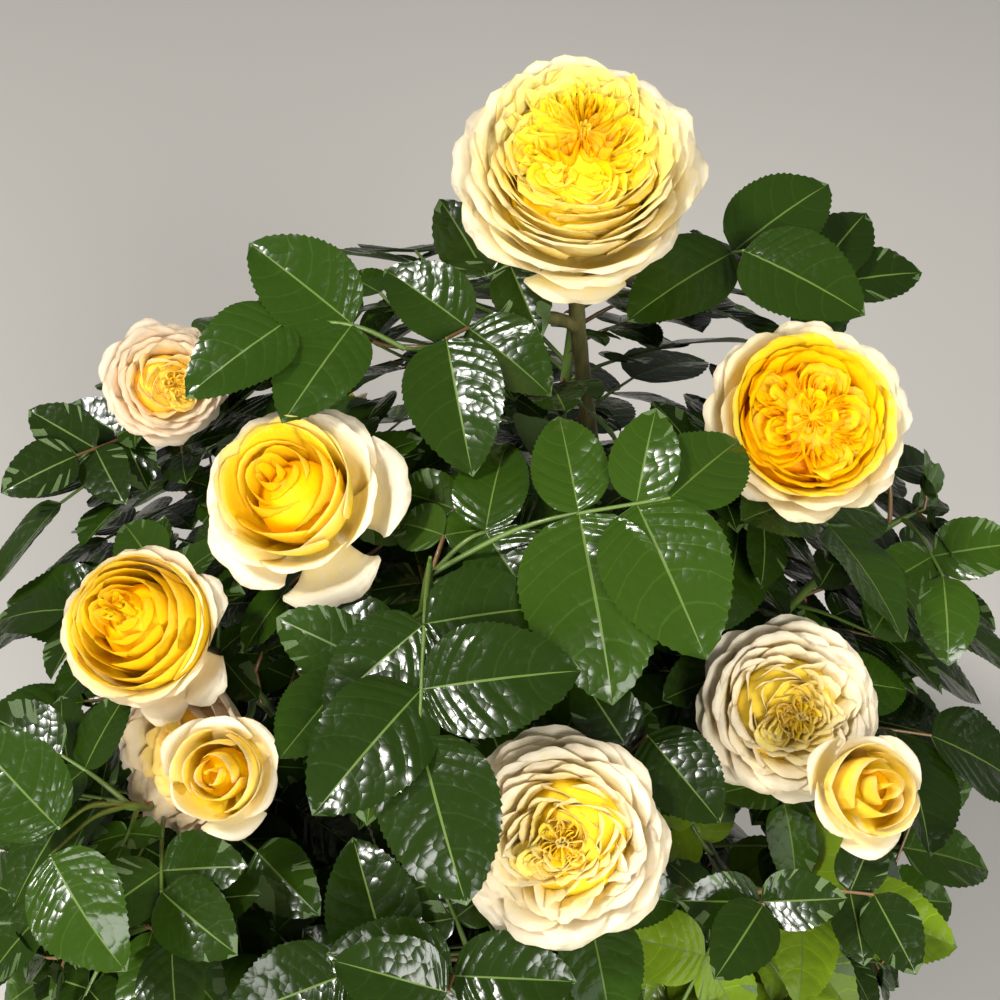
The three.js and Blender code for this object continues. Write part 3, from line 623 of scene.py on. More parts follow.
class BladeMesh:
    """The rows, columns and faces that all leaflets of one grade share."""

    def __init__(self, veins, swell_rows, columns, under):
        self.columns, self.under, self.veins = np.array(columns), np.array(under), veins
        rows, swell, space = [0.0, BLADE.first_vein * 0.5], [0.0, 0.6], [0, 0]
        pitch = (BLADE.last_vein - BLADE.first_vein) / veins
        shares = [step / swell_rows for step in range(swell_rows)]
        for vein in range(veins):
            start = BLADE.first_vein + vein * pitch
            rows += [start, *(start + pitch * mix(BLADE.strip, 1, share) for share in shares)]
            swell += [0.0, *(math.sin(math.pi * share) for share in shares)]
            space += [vein + 1] * (swell_rows + 1)
        self.margin = np.array(rows + [BLADE.last_vein, 1.0])
        self.swell = np.array(swell + [0.0, 0.0])
        self.space = np.array(space + [veins, veins])
        self.midrib = self.margin - BLADE.sweep * np.sin(math.pi * self.margin)
        self.rows = len(self.margin)
        self.vein_strip = np.zeros(self.rows - 1, bool)
        self.vein_strip[2:-2:swell_rows + 1] = True
        self.toothed = np.diff(self.margin) > 0.5 * pitch / swell_rows
        self.toothed[[0, -1]] = False
        self.lay_faces()

    def lay_faces(self):
        middle = len(self.columns) - 1
        upper = np.arange(self.rows * (2 * middle + 1)).reshape(self.rows, -1)
        lower = np.zeros((self.rows, 2 * len(self.under) - 1), int)
        lower[:, [0, -1]] = upper[:, [0, -1]]
        inner = lower[:, 1:-1]
        inner[:] = upper.size + np.arange(inner.size).reshape(inner.shape)
        # At the base and the tip the two sides close on the same points
        inner[[0, -1]] = upper[[0, -1], middle][:, None]
        rows, count = np.flatnonzero(self.toothed), upper.size + inner.size
        teeth = {(row, end): count + i + end * len(rows) for end in (0, 1) for i, row in enumerate(rows)}
        faces = [*self.sheet_faces(upper, BLADE_KIND, teeth), *self.sheet_faces(lower, UNDER_KIND, teeth)]
        by_corners = [[face for face in faces if len(face[0]) == corners] for corners in (4, 3)]
        self.faces = [[np.array(part) for part in zip(*alike)] for alike in by_corners]

    def sheet_faces(self, sheet, kind, teeth):
        """The corners and the kind of each face, with three around each tooth of the margins."""
        last, middle = sheet.shape[1] - 2, len(self.columns) - 1
        for row in range(self.rows - 1):
            for column in range(last + 1):
                (a, b), (d, c) = sheet[row:row + 2, column:column + 2]
                own_kind = kind
                if kind == BLADE_KIND and column in (middle - 1, middle):
                    own_kind = MIDRIB_KIND
                elif kind == BLADE_KIND and self.vein_strip[row]:
                    own_kind = VEIN_KIND
                faces = [(a, b, c, d)]
                if self.toothed[row] and column == 0:
                    tooth = teeth[row, 0]
                    faces = [(a, b, tooth), (b, c, tooth), (c, d, tooth)]
                elif self.toothed[row] and column == last:
                    tooth = teeth[row, 1]
                    faces = [(b, tooth, a), (a, tooth, d), (d, tooth, c)]
                for face in faces:
                    ring = list(dict.fromkeys(face))
                    yield (ring[::-1] if kind == UNDER_KIND else ring), own_kind


LARGE_BLADE = BladeMesh(6, 3, (0, 0.022, 0.3, 0.64, 1), (0, 0.64, 1))
MIDDLE_BLADE = BladeMesh(5, 2, (0, 0.03, 0.5, 1), (0, 1))
SMALL_BLADE = BladeMesh(5, 1, (0, 0.035, 0.5, 1), (0, 1))


def blade_heights(s, v, side, swell, shape):
    """How high a blade stands at a share of its length and of its half width, over its length."""
    lengthwise, crosswise = np.sin(math.pi * np.clip(s, 0, 1)), np.sin(math.pi * np.clip(v, 0, 1) ** 0.8)
    fold = shape.fold * v**1.4 * lengthwise**0.6
    droop = -shape.droop * s**2.2 + shape.arch * lengthwise
    swelling = BLADE.swelling * swell * crosswise**0.7 - BLADE.groove * (swell < 0.1) * crosswise
    edge = -BLADE.edge_drop * np.clip((v - 0.7) / 0.3, 0, 1) ** 2 * lengthwise
    wave = BLADE.wave * shape.wavy * v**2 * np.sin(shape.waves * math.pi * s + shape.phase + side)
    return fold + droop + swelling + edge + wave


def leaflet_mesh(pile, leaflet, green, random, blade):
    """One leaflet: its upper side with veins and swellings, its toothed margin and its underside."""
    shape = Sizes(**{key: mix(*span, random()) for key, span in vars(VARIED).items()})
    shape.fold *= LEAFLET.fold
    shape.droop *= LEAFLET.droop
    puckers = {side: np.array([mix(*BLADE.pucker, random()) for _ in range(blade.veins + 1)])
               for side in (-1, 1)}
    slant, twist = (mix(-most, most, random()) for most in (BLADE.slant, BLADE.twist))
    width = LEAFLET.width / 2 * mix(*LEAF.variety, random())

    def place(rows, v, side, extra=0.0, lower=0.0):
        margin, midrib, swell, space = rows
        s = midrib + (margin - midrib) * v**BLADE.bend
        out = v * half_width(np.clip(s, 0, 1)) * width * (1 + slant * side) + extra * 0.75
        z = blade_heights(s, v, side, swell * puckers[side][space], shape) - lower
        x = side * out
        x, z = x + z * twist * s, z - x * twist * s
        lengthwise, crosswise = leaflet.along * (s + extra)[..., None], leaflet.across * x[..., None]
        return leaflet.base + leaflet.length * (lengthwise + crosswise + leaflet.over * z[..., None])

    rows = [row[:, None] for row in (blade.margin, blade.midrib, blade.swell, blade.space)]
    flat = np.ones((blade.rows, 1))
    columns, under = blade.columns[None, :] * flat, blade.under[None, :-1] * flat
    depth = np.where(under == 0, BLADE.rib, BLADE.thick) * (0.4 + 0.6 * np.sin(math.pi * rows[0]))
    upper = np.concatenate([place(rows, columns[:, :0:-1], -1), place(rows, columns, 1)], 1)
    lower = np.concatenate([place(rows, under[:, :0:-1], -1, lower=depth[:, :0:-1]),
                            place(rows, under, 1, lower=depth)], 1)
    toothed = np.flatnonzero(blade.toothed)
    between = [(row[:-1] + row[1:])[toothed] / 2 for row in (blade.margin, blade.midrib, blade.swell)]
    between.append(blade.space[:-1][toothed])
    fine = BLADE.tooth * np.sin(math.pi * np.clip(between[0], 0.1, 0.9)) ** 0.5
    teeth = [place(between, np.ones(len(toothed)), side, extra=fine) for side in (-1, 1)]
    kinds = np.array([green, VEIN_SLOTS[green], UNDER_SLOT, MIDRIB_SLOT])
    for faces, face_kinds in blade.faces:
        pile.add_faces(faces, kinds[face_kinds], face_kinds == UNDER_KIND)
    pile.add_points(np.concatenate([points.reshape(-1, 3) for points in (upper, lower, *teeth)]))


# Materials

RELIEF_DEPTH = 0.001
COAT_ROUGHNESS = 0.12
SOFT = Sizes(radius=(1, 1, 1), scale=0.004)


def srgb(red, green, blue):
    """A colour given as it looks on a screen, 0 to 255, in the linear values that shaders take."""
    values = np.array([red, green, blue]) / 255
    return tuple(np.where(values <= 0.04045, values / 12.92, ((values + 0.055) / 1.055) ** 2.4))


def set_inputs(material, node, inputs):
    """Give each input of a node its value, or link it to another node's output."""
    for name, value in inputs.items():
        if isinstance(value, bpy.types.NodeSocket):
            material.node_tree.links.new(value, node.inputs[name])
        else:
            node.inputs[name].default_value = value


def set_shader(material, inputs):
    set_inputs(material, material.node_tree.nodes["Principled BSDF"], inputs)


def add_node(material, kind, inputs, **settings):
    node = material.node_tree.nodes.new("ShaderNode" + kind)
    for name, value in settings.items():
        setattr(node, name, value)
    set_inputs(material, node, inputs)
    return node


def pattern(material, kind, inputs, stretch=None):
    """A texture laid out by the object's own coordinates."""
    where = add_node(material, "TexCoord", {}).outputs["Object"]
    if stretch:
        where = add_node(material, "Mapping", {"Vector": where, "Scale": stretch}).outputs["Vector"]
    return add_node(material, kind, {"Vector": where, **inputs})


def emboss(material, height, strength, invert=False):
    """Relief from the output of a pattern."""
    inputs = {"Strength": strength, "Distance": RELIEF_DEPTH, "Height": height}
    relief = add_node(material, "Bump", inputs, invert=invert)
    set_shader(material, {"Normal": relief.outputs["Normal"]})


def new_material(name, colour, roughness, specular=0.5, coat=0.0, subsurface=0.0):
    material = bpy.data.materials.new(name)
    material.use_nodes = True
    set_shader(material, {
        "Base Color": (*colour, 1), "Roughness": roughness, "Specular IOR Level": specular,
        "Coat Weight": coat, "Coat Roughness": COAT_ROUGHNESS, "Subsurface Weight": subsurface,
        "Subsurface Radius": SOFT.radius, "Subsurface Scale": SOFT.scale,
    })
    return material


def fine_material(name, colour, roughness, bump, scale, **look):
    """A plain base colour with a fine relief."""
    material = new_material(name, colour, roughness, **look)
    noise = pattern(material, "TexNoise", {"Scale": scale, "Detail": 3})
    emboss(material, noise.outputs["Fac"], bump)
    return material


def blade_material(name, colour, roughness):
    """A glossy blade, quilted finely between its smallest veins."""
    material = new_material(name, colour, roughness, specular=0.32)
    quilt = pattern(material, "TexVoronoi", {"Scale": 260})
    pillow = add_node(material, "Math", {0: quilt.outputs["Distance"], 1: 2}, operation="POWER")
    emboss(material, pillow.outputs["Value"], 0.24, invert=True)
    return material


def bark_material(name, dark, light, scale, bump, roughness):
    """Bark: two colours mixed by noise that is stretched upwards, with relief from the same noise."""
    material = new_material(name, dark, roughness)
    noise = pattern(material, "TexNoise", {"Scale": scale, "Detail": 6}, stretch=(1, 1, 0.25))
    ramp = add_node(material, "ValToRGB", {"Fac": noise.outputs["Fac"]})
    for stop, position, colour in zip(ramp.color_ramp.elements, (0.35, 0.68), (dark, light)):
        stop.position, stop.color = position, (*colour, 1)
    set_shader(material, {"Base Color": ramp.outputs["Color"]})
    emboss(material, noise.outputs["Fac"], bump)
    return material


# Greens of the blades, the last two of young leaves, and how much lighter the side veins are
LEAF_GREENS = [(28, 45, 7), (32, 51, 8), (37, 59, 10), (25, 41, 6), (43, 66, 12), (96, 120, 22),
               (104, 122, 26)]
GROWN_GREENS = 5
VEIN_LIFT = 1.12
PETAL_COLOURS = [
    (248, 162, 0), (249, 172, 0), (250, 182, 0), (250, 192, 4), (250, 200, 12), (251, 208, 28),
    (251, 214, 52), (251, 219, 80), (251, 223, 106), (251, 226, 130), (251, 229, 150), (251, 231, 168),
    (250, 232, 184), (250, 233, 198),
]
FADED_COLOURS = [(250, 190, 36), (250, 200, 66), (250, 208, 102), (249, 214, 138), (248, 217, 166),
                 (248, 221, 184)]

leaf_materials = [blade_material(f"leaf_{i}", srgb(*colour), 0.19) for i, colour in enumerate(LEAF_GREENS)]
VEIN_SLOTS = [len(leaf_materials) + i for i in range(len(LEAF_GREENS))]
leaf_materials += [
    blade_material(f"leaf_vein_{i}", srgb(*(VEIN_LIFT * channel for channel in colour)), 0.24)
    for i, colour in enumerate(LEAF_GREENS)
]
UNDER_SLOT, MIDRIB_SLOT = len(leaf_materials), len(leaf_materials) + 1
leaf_materials.append(fine_material("leaf_underside", srgb(70, 92, 44), 0.55, 0.4, 1200))
leaf_materials.append(fine_material("leaf_midrib", srgb(84, 106, 42), 0.4, 0.1, 400, specular=0.3))
petal_colours = PETAL_COLOURS + FADED_COLOURS
petal_materials = [
    fine_material(f"petal_{i}", srgb(*colour), 0.5, 0.1, 500, specular=0.15, subsurface=0.6)
    for i, colour in enumerate(petal_colours)
]
FADED_SLOT, SEPAL_SLOT = len(PETAL_COLOURS), len(petal_colours)
petal_materials.append(fine_material("sepal", srgb(84, 116, 54), 0.5, 0.3, 700))
cane_material = bark_material("cane_bark", srgb(70, 72, 34), srgb(104, 96, 52), 300, 0.35, 0.5)
stem_material = bark_material("stem_bark", srgb(74, 58, 40), srgb(128, 108, 80), 160, 0.8, 0.8)
shoot_materials = [
    fine_material("shoot_green", srgb(88, 112, 44), 0.45, 0.25, 700, coat=0.2),
    fine_material("shoot_reddish", srgb(112, 84, 50), 0.45, 0.25, 700, coat=0.2),
    fine_material("prickle", srgb(120, 58, 44), 0.4, 0.15, 500, coat=0.2),
]
GREEN_SHOOT, REDDISH_SHOOT, PRICKLE_SLOT = range(3)

limbs = make_limbs()
blooms = make_blooms(limbs)
space = Space(limbs, blooms)
place_leaves(space)

# Camera, floor and light, in metres

VIEW = Sizes(target=(0, -0.04, 0.58), distance=0.59, down=42, lens=50, near=0.01)
FLOOR_REACH = 6
WARM_WHITE = (1, 0.99, 0.96)
LAMP_TARGET = Vector((0, 0, 0.45))
# The place, the width, the watts and the colour of each lamp
LAMPS = {
    "key": ((-2.3, -1.1, 4.7), 0.8, 220, (1, 0.98, 0.94)),
    "front": ((1.6, -4.2, 2.5), 2.2, 255, WARM_WHITE),
    "front_left": ((-3.1, -3.3, 1.7), 2.2, 135, WARM_WHITE),
    "fill": ((3.2, -1.0, 1.9), 2.2, 20, (1, 1, 1)),
}
WORLD_STRENGTH = 0.15


def make_camera():
    camera = add_object("camera", bpy.data.cameras.new("camera"))
    camera.location = point(VIEW.target) - compass(180, -VIEW.down) * VIEW.distance
    camera.rotation_euler = (math.radians(90 - VIEW.down), 0, 0)
    camera.data.lens, camera.data.clip_start = VIEW.lens, VIEW.near
    bpy.context.scene.camera = camera


def make_floor():
    mesh = bpy.data.meshes.new("floor")
    corners = [(x * FLOOR_REACH, y * FLOOR_REACH, 0) for x, y in ((-1, -1), (1, -1), (1, 1), (-1, 1))]
    mesh.from_pydata(corners, [], [(0, 1, 2, 3)])
    mesh.materials.append(fine_material("floor", srgb(186, 183, 178), 0.85, 0.05, 60))
    add_object("floor", mesh)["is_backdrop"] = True


def make_lights():
    for name, (place, width, watts, colour) in LAMPS.items():
        light = bpy.data.lights.new(name, "AREA")
        light.shape, light.size, light.energy, light.color = "DISK", width, watts, colour
        lamp = add_object(name, light)
        lamp.location = place
        lamp.rotation_euler = (LAMP_TARGET - Vector(place)).to_track_quat("-Z", "Y").to_euler()
    world = bpy.data.worlds.new("studio")
    bpy.context.scene.world = world
    world.use_nodes = True
    background = world.node_tree.nodes["Background"]
    background.inputs["Color"].default_value = (*WARM_WHITE, 1)
    background.inputs["Strength"].default_value = WORLD_STRENGTH
    bpy.context.scene.view_settings.view_transform = "Standard"


make_camera()
make_floor()
make_lights()


# Leaves and shoots, by the side of the plant that they grow on

# Leaflets longer than these, in millimetres, show their side veins closely, or more plainly
LARGE_FROM, MIDDLE_FROM = 44, 30
GROUPS = {
    "front": ("centre", "centre_left", "front", "front_left", "front_low"),
    "right": ("top", "top_right", "right", "right_front", "far_right", "low_right"),
    "left": ("top_left", "left", "far_left", "low_left"),
    "back": ("back", "back_left", "back_right"),
    "skirt": ("skirt_front", "skirt_right", "skirt_left", "skirt_back", "skirt_back_right"),
}
# Masses that the front view hardly shows, whose leaflets are all of the plainer grades
PLAINER = {*GROUPS["back"], *GROUPS["skirt"]}


def blade_for(leaflet, name):
    if leaflet.length > LARGE_FROM and name not in PLAINER:
        return LARGE_BLADE
    return MIDDLE_BLADE if leaflet.length > MIDDLE_FROM else SMALL_BLADE


# Shoots that a large leaf ends, and which therefore have no tuft of young ones
LED = {name for name, at, *_ in HERO_ROWS if at > 0.94}
# The mass whose leaves are mostly young, and the share of them that are
YOUNG = Sizes(mass="low_right", share=0.8)
TUFT = Sizes(leaves=3, length=(15, 23), before_tip=4, lift=0.55, spread=62, side=0.85)
PRICKLE = Sizes(spacing=13, length=(2.5, 4.5), base=1.3, tip=0.12, hook=0.5, keep=0.75, turn=97,
                last=0.96, stray=0.3)
SHOOT = Sizes(ring_every=7, slimmer=0.9, taper=30, thinnest=0.12, stalk=(2.1, 1.7), stalk_rings=15,
              rachis=(1.25, 0.75), reddish=0.35)


def shoot_radius(limb, t):
    return mix(limb.radii[0], limb.radii[1], t)


def rachis_line(rachis):
    """The rachis with its bend rounded off."""
    root, bend, joint = rachis
    before, after = mix(bend, root, 0.45), mix(bend, joint, 0.35)
    t = np.linspace(0, 1, 6)[:, None]
    arc = before * (1 - t) ** 2 + 2 * bend * t * (1 - t) + after * t * t
    return np.concatenate([[root], arc, [mix(after, joint, 0.5)], [joint]])


def prickles(pile, limb, first, last, slot):
    """Small hooked prickles up a cane, at a turn from each other as its leaves are."""
    random = random_from(SEEDS.prickles + limb.index)
    for number in range(*(int(limb.length * share / PRICKLE.spacing) for share in (first, last))):
        t = (number + mix(-PRICKLE.stray, PRICKLE.stray, random())) * PRICKLE.spacing / limb.length
        if random() > PRICKLE.keep or not first <= t <= last:
            continue
        along = limb.curve.tangent(t)
        out = turned(square_to(point(GROWTH.first), along), along, number * PRICKLE.turn + 40 * random())
        root = limb.curve.at(t) + out * shoot_radius(limb, t) * 0.7
        length = mix(*PRICKLE.length, random())
        line = [root, root + out * length * 0.55 - along * length * 0.12,
                root + out * length - along * length * PRICKLE.hook]
        tube(pile, line, [PRICKLE.base, PRICKLE.base * 0.5, PRICKLE.tip], 5, slot)


def tuft(leaves, twigs, limb, random):
    """Young leaves that open at the tip of a shoot without a bloom."""
    tip, along = limb.curve.at(1), limb.curve.tangent(1)
    for number in range(TUFT.leaves):
        out = turned(square_to(point(GROWTH.first), along), along, number * NODES.turn + 60)
        root = tip - along * TUFT.before_tip * number
        reach = unit(out + along * TUFT.lift)
        length = mix(*TUFT.length, random())
        joint = root + reach * length * 0.5
        tube(twigs, [root, mix(root, joint, 0.5) + along, joint], (0.9, 0.7, 0.5), 5, REDDISH_SHOOT)
        up = unit(along + out * 0.3)
        blades = [leaflet_at(joint, reach, up, length)]
        for side in (-1, 1):
            aside = turned(reach, up, side * TUFT.spread)
            blades.append(leaflet_at(mix(joint, root, 0.25), aside, up, length * TUFT.side))
        green = int(random() * GROWN_GREENS)
        for blade in blades:
            if not space.inside_bloom(blade.kite).any():
                leaflet_mesh(leaves, blade, green, random, SMALL_BLADE)


def leaves_of(group, names):
    leaves, twigs = Pile(), Pile()
    for name in names:
        limb = limbs[name]
        t = np.linspace(limb.split, 1, max(8, int(limb.length * (1 - limb.split) / SHOOT.ring_every)))
        radii = shoot_radius(limb, t) * SHOOT.slimmer
        if not any(bloom.tip is limb.tip for bloom in limb.blooms):
            radii = radii * np.sqrt(np.clip((1 - t) * limb.length / SHOOT.taper, SHOOT.thinnest, 1))
            if name not in LED:
                tuft(leaves, twigs, limb, random_from(SEEDS.tuft + limb.index))
        tube(twigs, limb.curve.at(t), radii, 10, GREEN_SHOOT)
        prickles(twigs, limb, limb.split, PRICKLE.last, PRICKLE_SLOT)
        for stalk in limb.stalks:
            rings = SHOOT.stalk_rings
            tube(twigs, stalk.line(rings - 1), np.linspace(*SHOOT.stalk, rings), 8, GREEN_SHOOT)
        for number, leaf in enumerate(limb.leaves):
            random = random_from(SEEDS.leaf + SEEDS.leaves_of_limb * limb.index + number)
            young = name == YOUNG.mass and random() < YOUNG.share
            green = GROWN_GREENS + int(random() * 2) if young else int(random() * GROWN_GREENS)
            line = rachis_line(leaf.rachis)
            slot = REDDISH_SHOOT if random() < SHOOT.reddish else GREEN_SHOOT
            tube(twigs, line, np.linspace(*SHOOT.rachis, len(line)), 6, slot)
            for leaflet in leaf.leaflets:
                leaflet_mesh(leaves, leaflet, green, random, blade_for(leaflet, name))
    nodes = ["foliage_" + name for name in names]
    leaves.build("leaves_" + group, leaf_materials, "foliage", nodes)
    twigs.build("shoots_" + group, shoot_materials, "foliage", nodes)


for group, names in GROUPS.items():
    leaves_of(group, names)


# Blooms

# A flower's own frame has x to the right and y up as the front view sees it, and z along its axis;
# reach and width are shares of its radius, and rise and low of its depth
# The share by which a petal's back is mixed towards the palest colour is a painted glow, standing in for
# light that shines through the petal.
SHELL = Sizes(thick=0.35, claw=0.12, blunt=0.2, notch=0.035, widest=1.25, wrap=1.35, jitter=0.02,
              back_share=0.2, droop=0.13, droop_from=0.6)
FINE = Sizes(rows=np.array([0, 0.16, 0.32, 0.47, 0.6, 0.72, 0.83, 0.93, 1]), columns=np.linspace(-1, 1, 11))
PLAIN = Sizes(rows=np.array([0, 0.22, 0.42, 0.6, 0.77, 0.91, 1]), columns=np.linspace(-1, 1, 9))
PHASES = 6.28


class Flower:
    def __init__(self, bloom, seed, likeness):
        self.pile, self.likeness, self.random = Pile(), likeness, random_from(seed)
        self.radius, self.deep = bloom.radius * likeness.size, bloom.deep
        self.faded = bloom.style == "spent"
        self.origin, self.axis = bloom.tip, bloom.axis
        self.x = square_to(point((1, 0, 0)), bloom.axis)
        self.y = np.cross(bloom.axis, self.x)

    def moved(self, reach):
        """How far a petal of this reach is moved to the right and up."""
        lean, middle = self.likeness.lean, self.likeness.middle
        return [(lean[axis] + max(0, 1 - reach) * middle[axis]) * self.radius for axis in (0, 1)]

    def vary(self, amount):
        return mix(-amount, amount, self.random())

    def ripple(self, v, counts):
        """Two waves across a petal."""
        first, second = (np.sin(count * v + self.random() * PHASES) for count in counts)
        return first + 0.7 * second

    def slots(self, pale):
        """The material of each face by how pale it is, from 0, deep orange, to 1, cream."""
        shades = len(FADED_COLOURS) if self.faded else len(PETAL_COLOURS)
        step = np.clip(np.floor((pale + self.likeness.shift) * shades), 0, shades - 1).astype(int)
        return step + (FADED_SLOT if self.faded else 0)

    def shell(self, surface, front, back):
        """A thin closed petal from a grid of points, rows along it and columns around the flower."""
        normal = np.cross(np.gradient(surface, axis=0), np.gradient(surface, axis=1))
        normal /= np.linalg.norm(normal, axis=-1)[..., None] + 1e-9
        rows, columns = surface.shape[:2]
        back_index = np.arange(rows * columns).reshape(rows, columns)
        inner = surface[1:-1, 1:-1] - normal[1:-1, 1:-1] * SHELL.thick
        back_index[1:-1, 1:-1] = rows * columns + np.arange(inner.size // 3).reshape(inner.shape[:2])
        quads = grid_faces(rows, columns)
        self.pile.add_faces(quads[:, ::-1], front, 0)
        self.pile.add_faces(back_index.ravel()[quads], back, 1)
        local = np.concatenate([surface.reshape(-1, 3), inner.reshape(-1, 3)])
        self.pile.add_points(self.origin + local @ np.array([self.x, self.y, self.axis]))

    def dealt(self, pale, at):
        """Materials of the faces between rows at these shares of a petal, and of their backs, which are
        paler as painted light for the glow that shines through a thin petal.
        """
        middle = (at[:-1, :-1] + at[1:, 1:]) / 2
        noise = np.array([self.random() for _ in range(middle.size)]).reshape(middle.shape)
        shade = mix(*pale, middle**1.3) + SHELL.jitter * (noise - 0.5) * 2
        # Painted glow: each back is mixed a share of the way to its palest colour, standing in for light
        # that shines through the petal.
        back = mix(shade, pale[1], SHELL.back_share)
        return self.slots(shade).ravel(), self.slots(back).ravel()

    def petal(self, turn, reach, rise, half, pale, flare=0.95, low=0.12, belly=0.9, pointed=0.0, ruffle=0.02,
              roll=0.0, hollow=0.8, twist=0.0, mesh=FINE, slot=None, notch=SHELL.notch, blunt=SHELL.blunt):
        """A petal from the middle of the flower: turn is where it points to, counter-clockwise from the
        right, and twist turns its width about its own middle line."""
        u, v = mesh.rows[:, None], mesh.columns[None, :]
        rounded = blunt * np.abs(v) ** 3 * (1 - pointed) + pointed * 0.34 * np.abs(v) ** 1.3
        s = u * (1 - rounded - notch * np.exp(-((v / 0.2) ** 2)) * (1 - pointed))
        shares = [(0.05, 0, 0.1), (belly * reach, 0, low),
                  (mix(1, 0.68, flare) * reach, 0, mix(0.55, 1.02, flare) * rise), (reach, 0, rise)]
        spine = Curve(*(np.array(shares) * (self.radius, 1, self.deep))).at(s)
        r, z = spine[..., 0], spine[..., 2]
        width = half * self.radius * np.clip(SHELL.claw + (s * SHELL.widest) ** 0.8, 0, 1)
        angle = v * np.minimum(width / r, SHELL.wrap)
        ruffled = ruffle * self.radius * s**4 * self.ripple(v, (2.6, 4.9))
        rolled = roll * np.clip((s - 0.72) / 0.28, 0, 1) ** 2
        aside, tilt = r * np.sin(angle), math.radians(twist)
        out = r * (1 - hollow * (1 - np.cos(angle))) + 0.5 * ruffled + 0.05 * rolled * self.radius
        out = out + aside * math.sin(tilt) * s
        aside = aside * mix(1, math.cos(tilt), s)
        up = z + ruffled - 0.3 * rolled * self.deep
        c, d = math.cos(math.radians(turn)), math.sin(math.radians(turn))
        right, ahead = self.moved(reach)
        surface = np.stack([out * c - aside * d + s * right, out * d + aside * c + s * ahead, up], -1)
        self.shell(surface, *(self.dealt(pale, s) if slot is None else (slot, slot)))

    def fold(self, turn, spread, reach, rise, pale, inner, low=0.8, lean=0.1, ruffle=0.03, centre=(0, 0),
             dip=0.06):
        """A petal folded into a narrow loop, standing on end with its open side to the middle."""
        u, v = PLAIN.rows[:, None], PLAIN.columns[None, :]
        open_side = np.abs(v) ** mix(1.8, 3.2, self.random())
        grown = 0.35 + 0.65 * u**0.6
        r = mix(reach, inner, open_side) * self.radius * grown * (1 + lean * u * u)
        sway = 7 * np.sin(4 * v + PHASES * self.random())
        a = np.radians(turn + spread * v * (1 - 0.25 * np.abs(v)) + sway)
        up = mix(low, rise, u) * self.deep + ruffle * self.radius * u**3 * self.ripple(v, (3.1, 6.3))
        x = centre[0] * self.radius * u + r * np.cos(a)
        y = centre[1] * self.radius * u + r * np.sin(a)
        away = np.clip(np.hypot(x, y) / (SHELL.droop_from * self.radius), 0, 1)
        up = up - (dip * open_side + SHELL.droop * away**2) * self.deep * u
        right, ahead = self.moved(reach + math.hypot(*centre))
        self.shell(np.stack([x + right * u, y + ahead * u, up], -1), *self.dealt(pale, away))

    def ring(self, count, reach, rise, half, pale, start=0.0, wander=0.05, **look):
        """Petals all round, each a little different."""
        for i in range(count):
            turn = start + (i + self.vary(0.22)) * 360 / count
            lift = self.vary(wander * 1.5)
            shade = self.vary(0.025)
            self.petal(turn, reach * (1 + self.vary(wander)), rise * (1 + lift),
                       half * (1 + self.vary(0.12)), (pale[0] + shade, pale[1] + shade), **look)

    def petals(self, rows, half, pale, **look):
        """Single petals, each with where it points to, its reach and its rise."""
        for turn, reach, rise in rows:
            self.petal(turn, reach, rise, half, pale, **look)

    def swirl(self, turn, away, size, levels, rise, pale, low=0.7):
        """Petals curled round a point off the middle, one in the other and open towards the middle."""
        a = math.radians(turn)
        centre = (away * math.cos(a), away * math.sin(a))
        for level in range(levels):
            share = level / (levels - 1)
            reach = size * mix(1, 0.14, share)
            shade = self.vary(0.04)
            self.fold(turn + self.vary(35), mix(135, 165, share), reach, rise + self.vary(0.04),
                      (pale[0] + shade, pale[1] + shade), reach * mix(0.55, 0.9, self.random()),
                      low=low, centre=centre)

    def quilt(self, count, outer, inner, rise, pale, half=0.22, twist=40):
        """Small ruffled petals all over, each turned its own way and deeper in colour inwards."""
        for i in range(count):
            share = i / count
            reach = mix(outer, inner, share**0.75)
            tone = mix(*pale, reach / outer) + self.vary(0.05)
            self.petal(i * 137.5 + self.vary(18), reach, rise * (1 + self.vary(0.035)),
                       half * mix(1, 0.6, share) * (1 + self.vary(0.25)), (tone - 0.14, tone + 0.06),
                       flare=mix(0.6, 1.0, self.random()), belly=0.85, ruffle=0.025, hollow=0.6,
                       twist=self.vary(twist), blunt=0.3, mesh=PLAIN)

    def star(self, loops, reach, rise, pale, nested=(1, 0.6), dip=0.04):
        """Petals folded into loops that point away from the middle, with narrower ones in each."""
        for i in range(loops):
            turn = i * 360 / loops + self.vary(100 / loops)
            own = reach * (1 + self.vary(0.16))
            for level, size in enumerate(nested):
                shade = pale + self.vary(0.06) - 0.05 * level
                spread = mix(175, 60, level / (len(nested) - 1)) / loops * 1.15
                self.fold(turn + self.vary(30 / loops), spread, own * size, rise * (1 + self.vary(0.03)),
                          (shade - 0.06, shade + 0.22), 0.035, lean=0.16, ruffle=0.012, dip=dip)

    def core(self, reach, rise, pale):
        """The packed bases of the inner petals, seen between their rims."""
        u = np.linspace(0, 1, 6)
        heights = (0.3 + u * (rise - 0.3)) * self.deep
        radii = reach * self.radius * np.sqrt(1 - 0.98 * u**4)
        right, ahead = self.moved(reach)
        off = right * self.x + ahead * self.y
        line = self.origin + heights[:, None] * self.axis + u[:, None] * off
        tube(self.pile, line, radii, 20, int(self.slots(np.array(pale))))

    def button(self, reach, rise, pale):
        """The little pale knot in the middle."""
        for i in range(5):
            self.fold(i * 72 + self.vary(10), 50, reach * mix(1, 0.5, i / 4), rise, (pale, pale + 0.1), 0.01,
                      dip=0.02, ruffle=0.004)

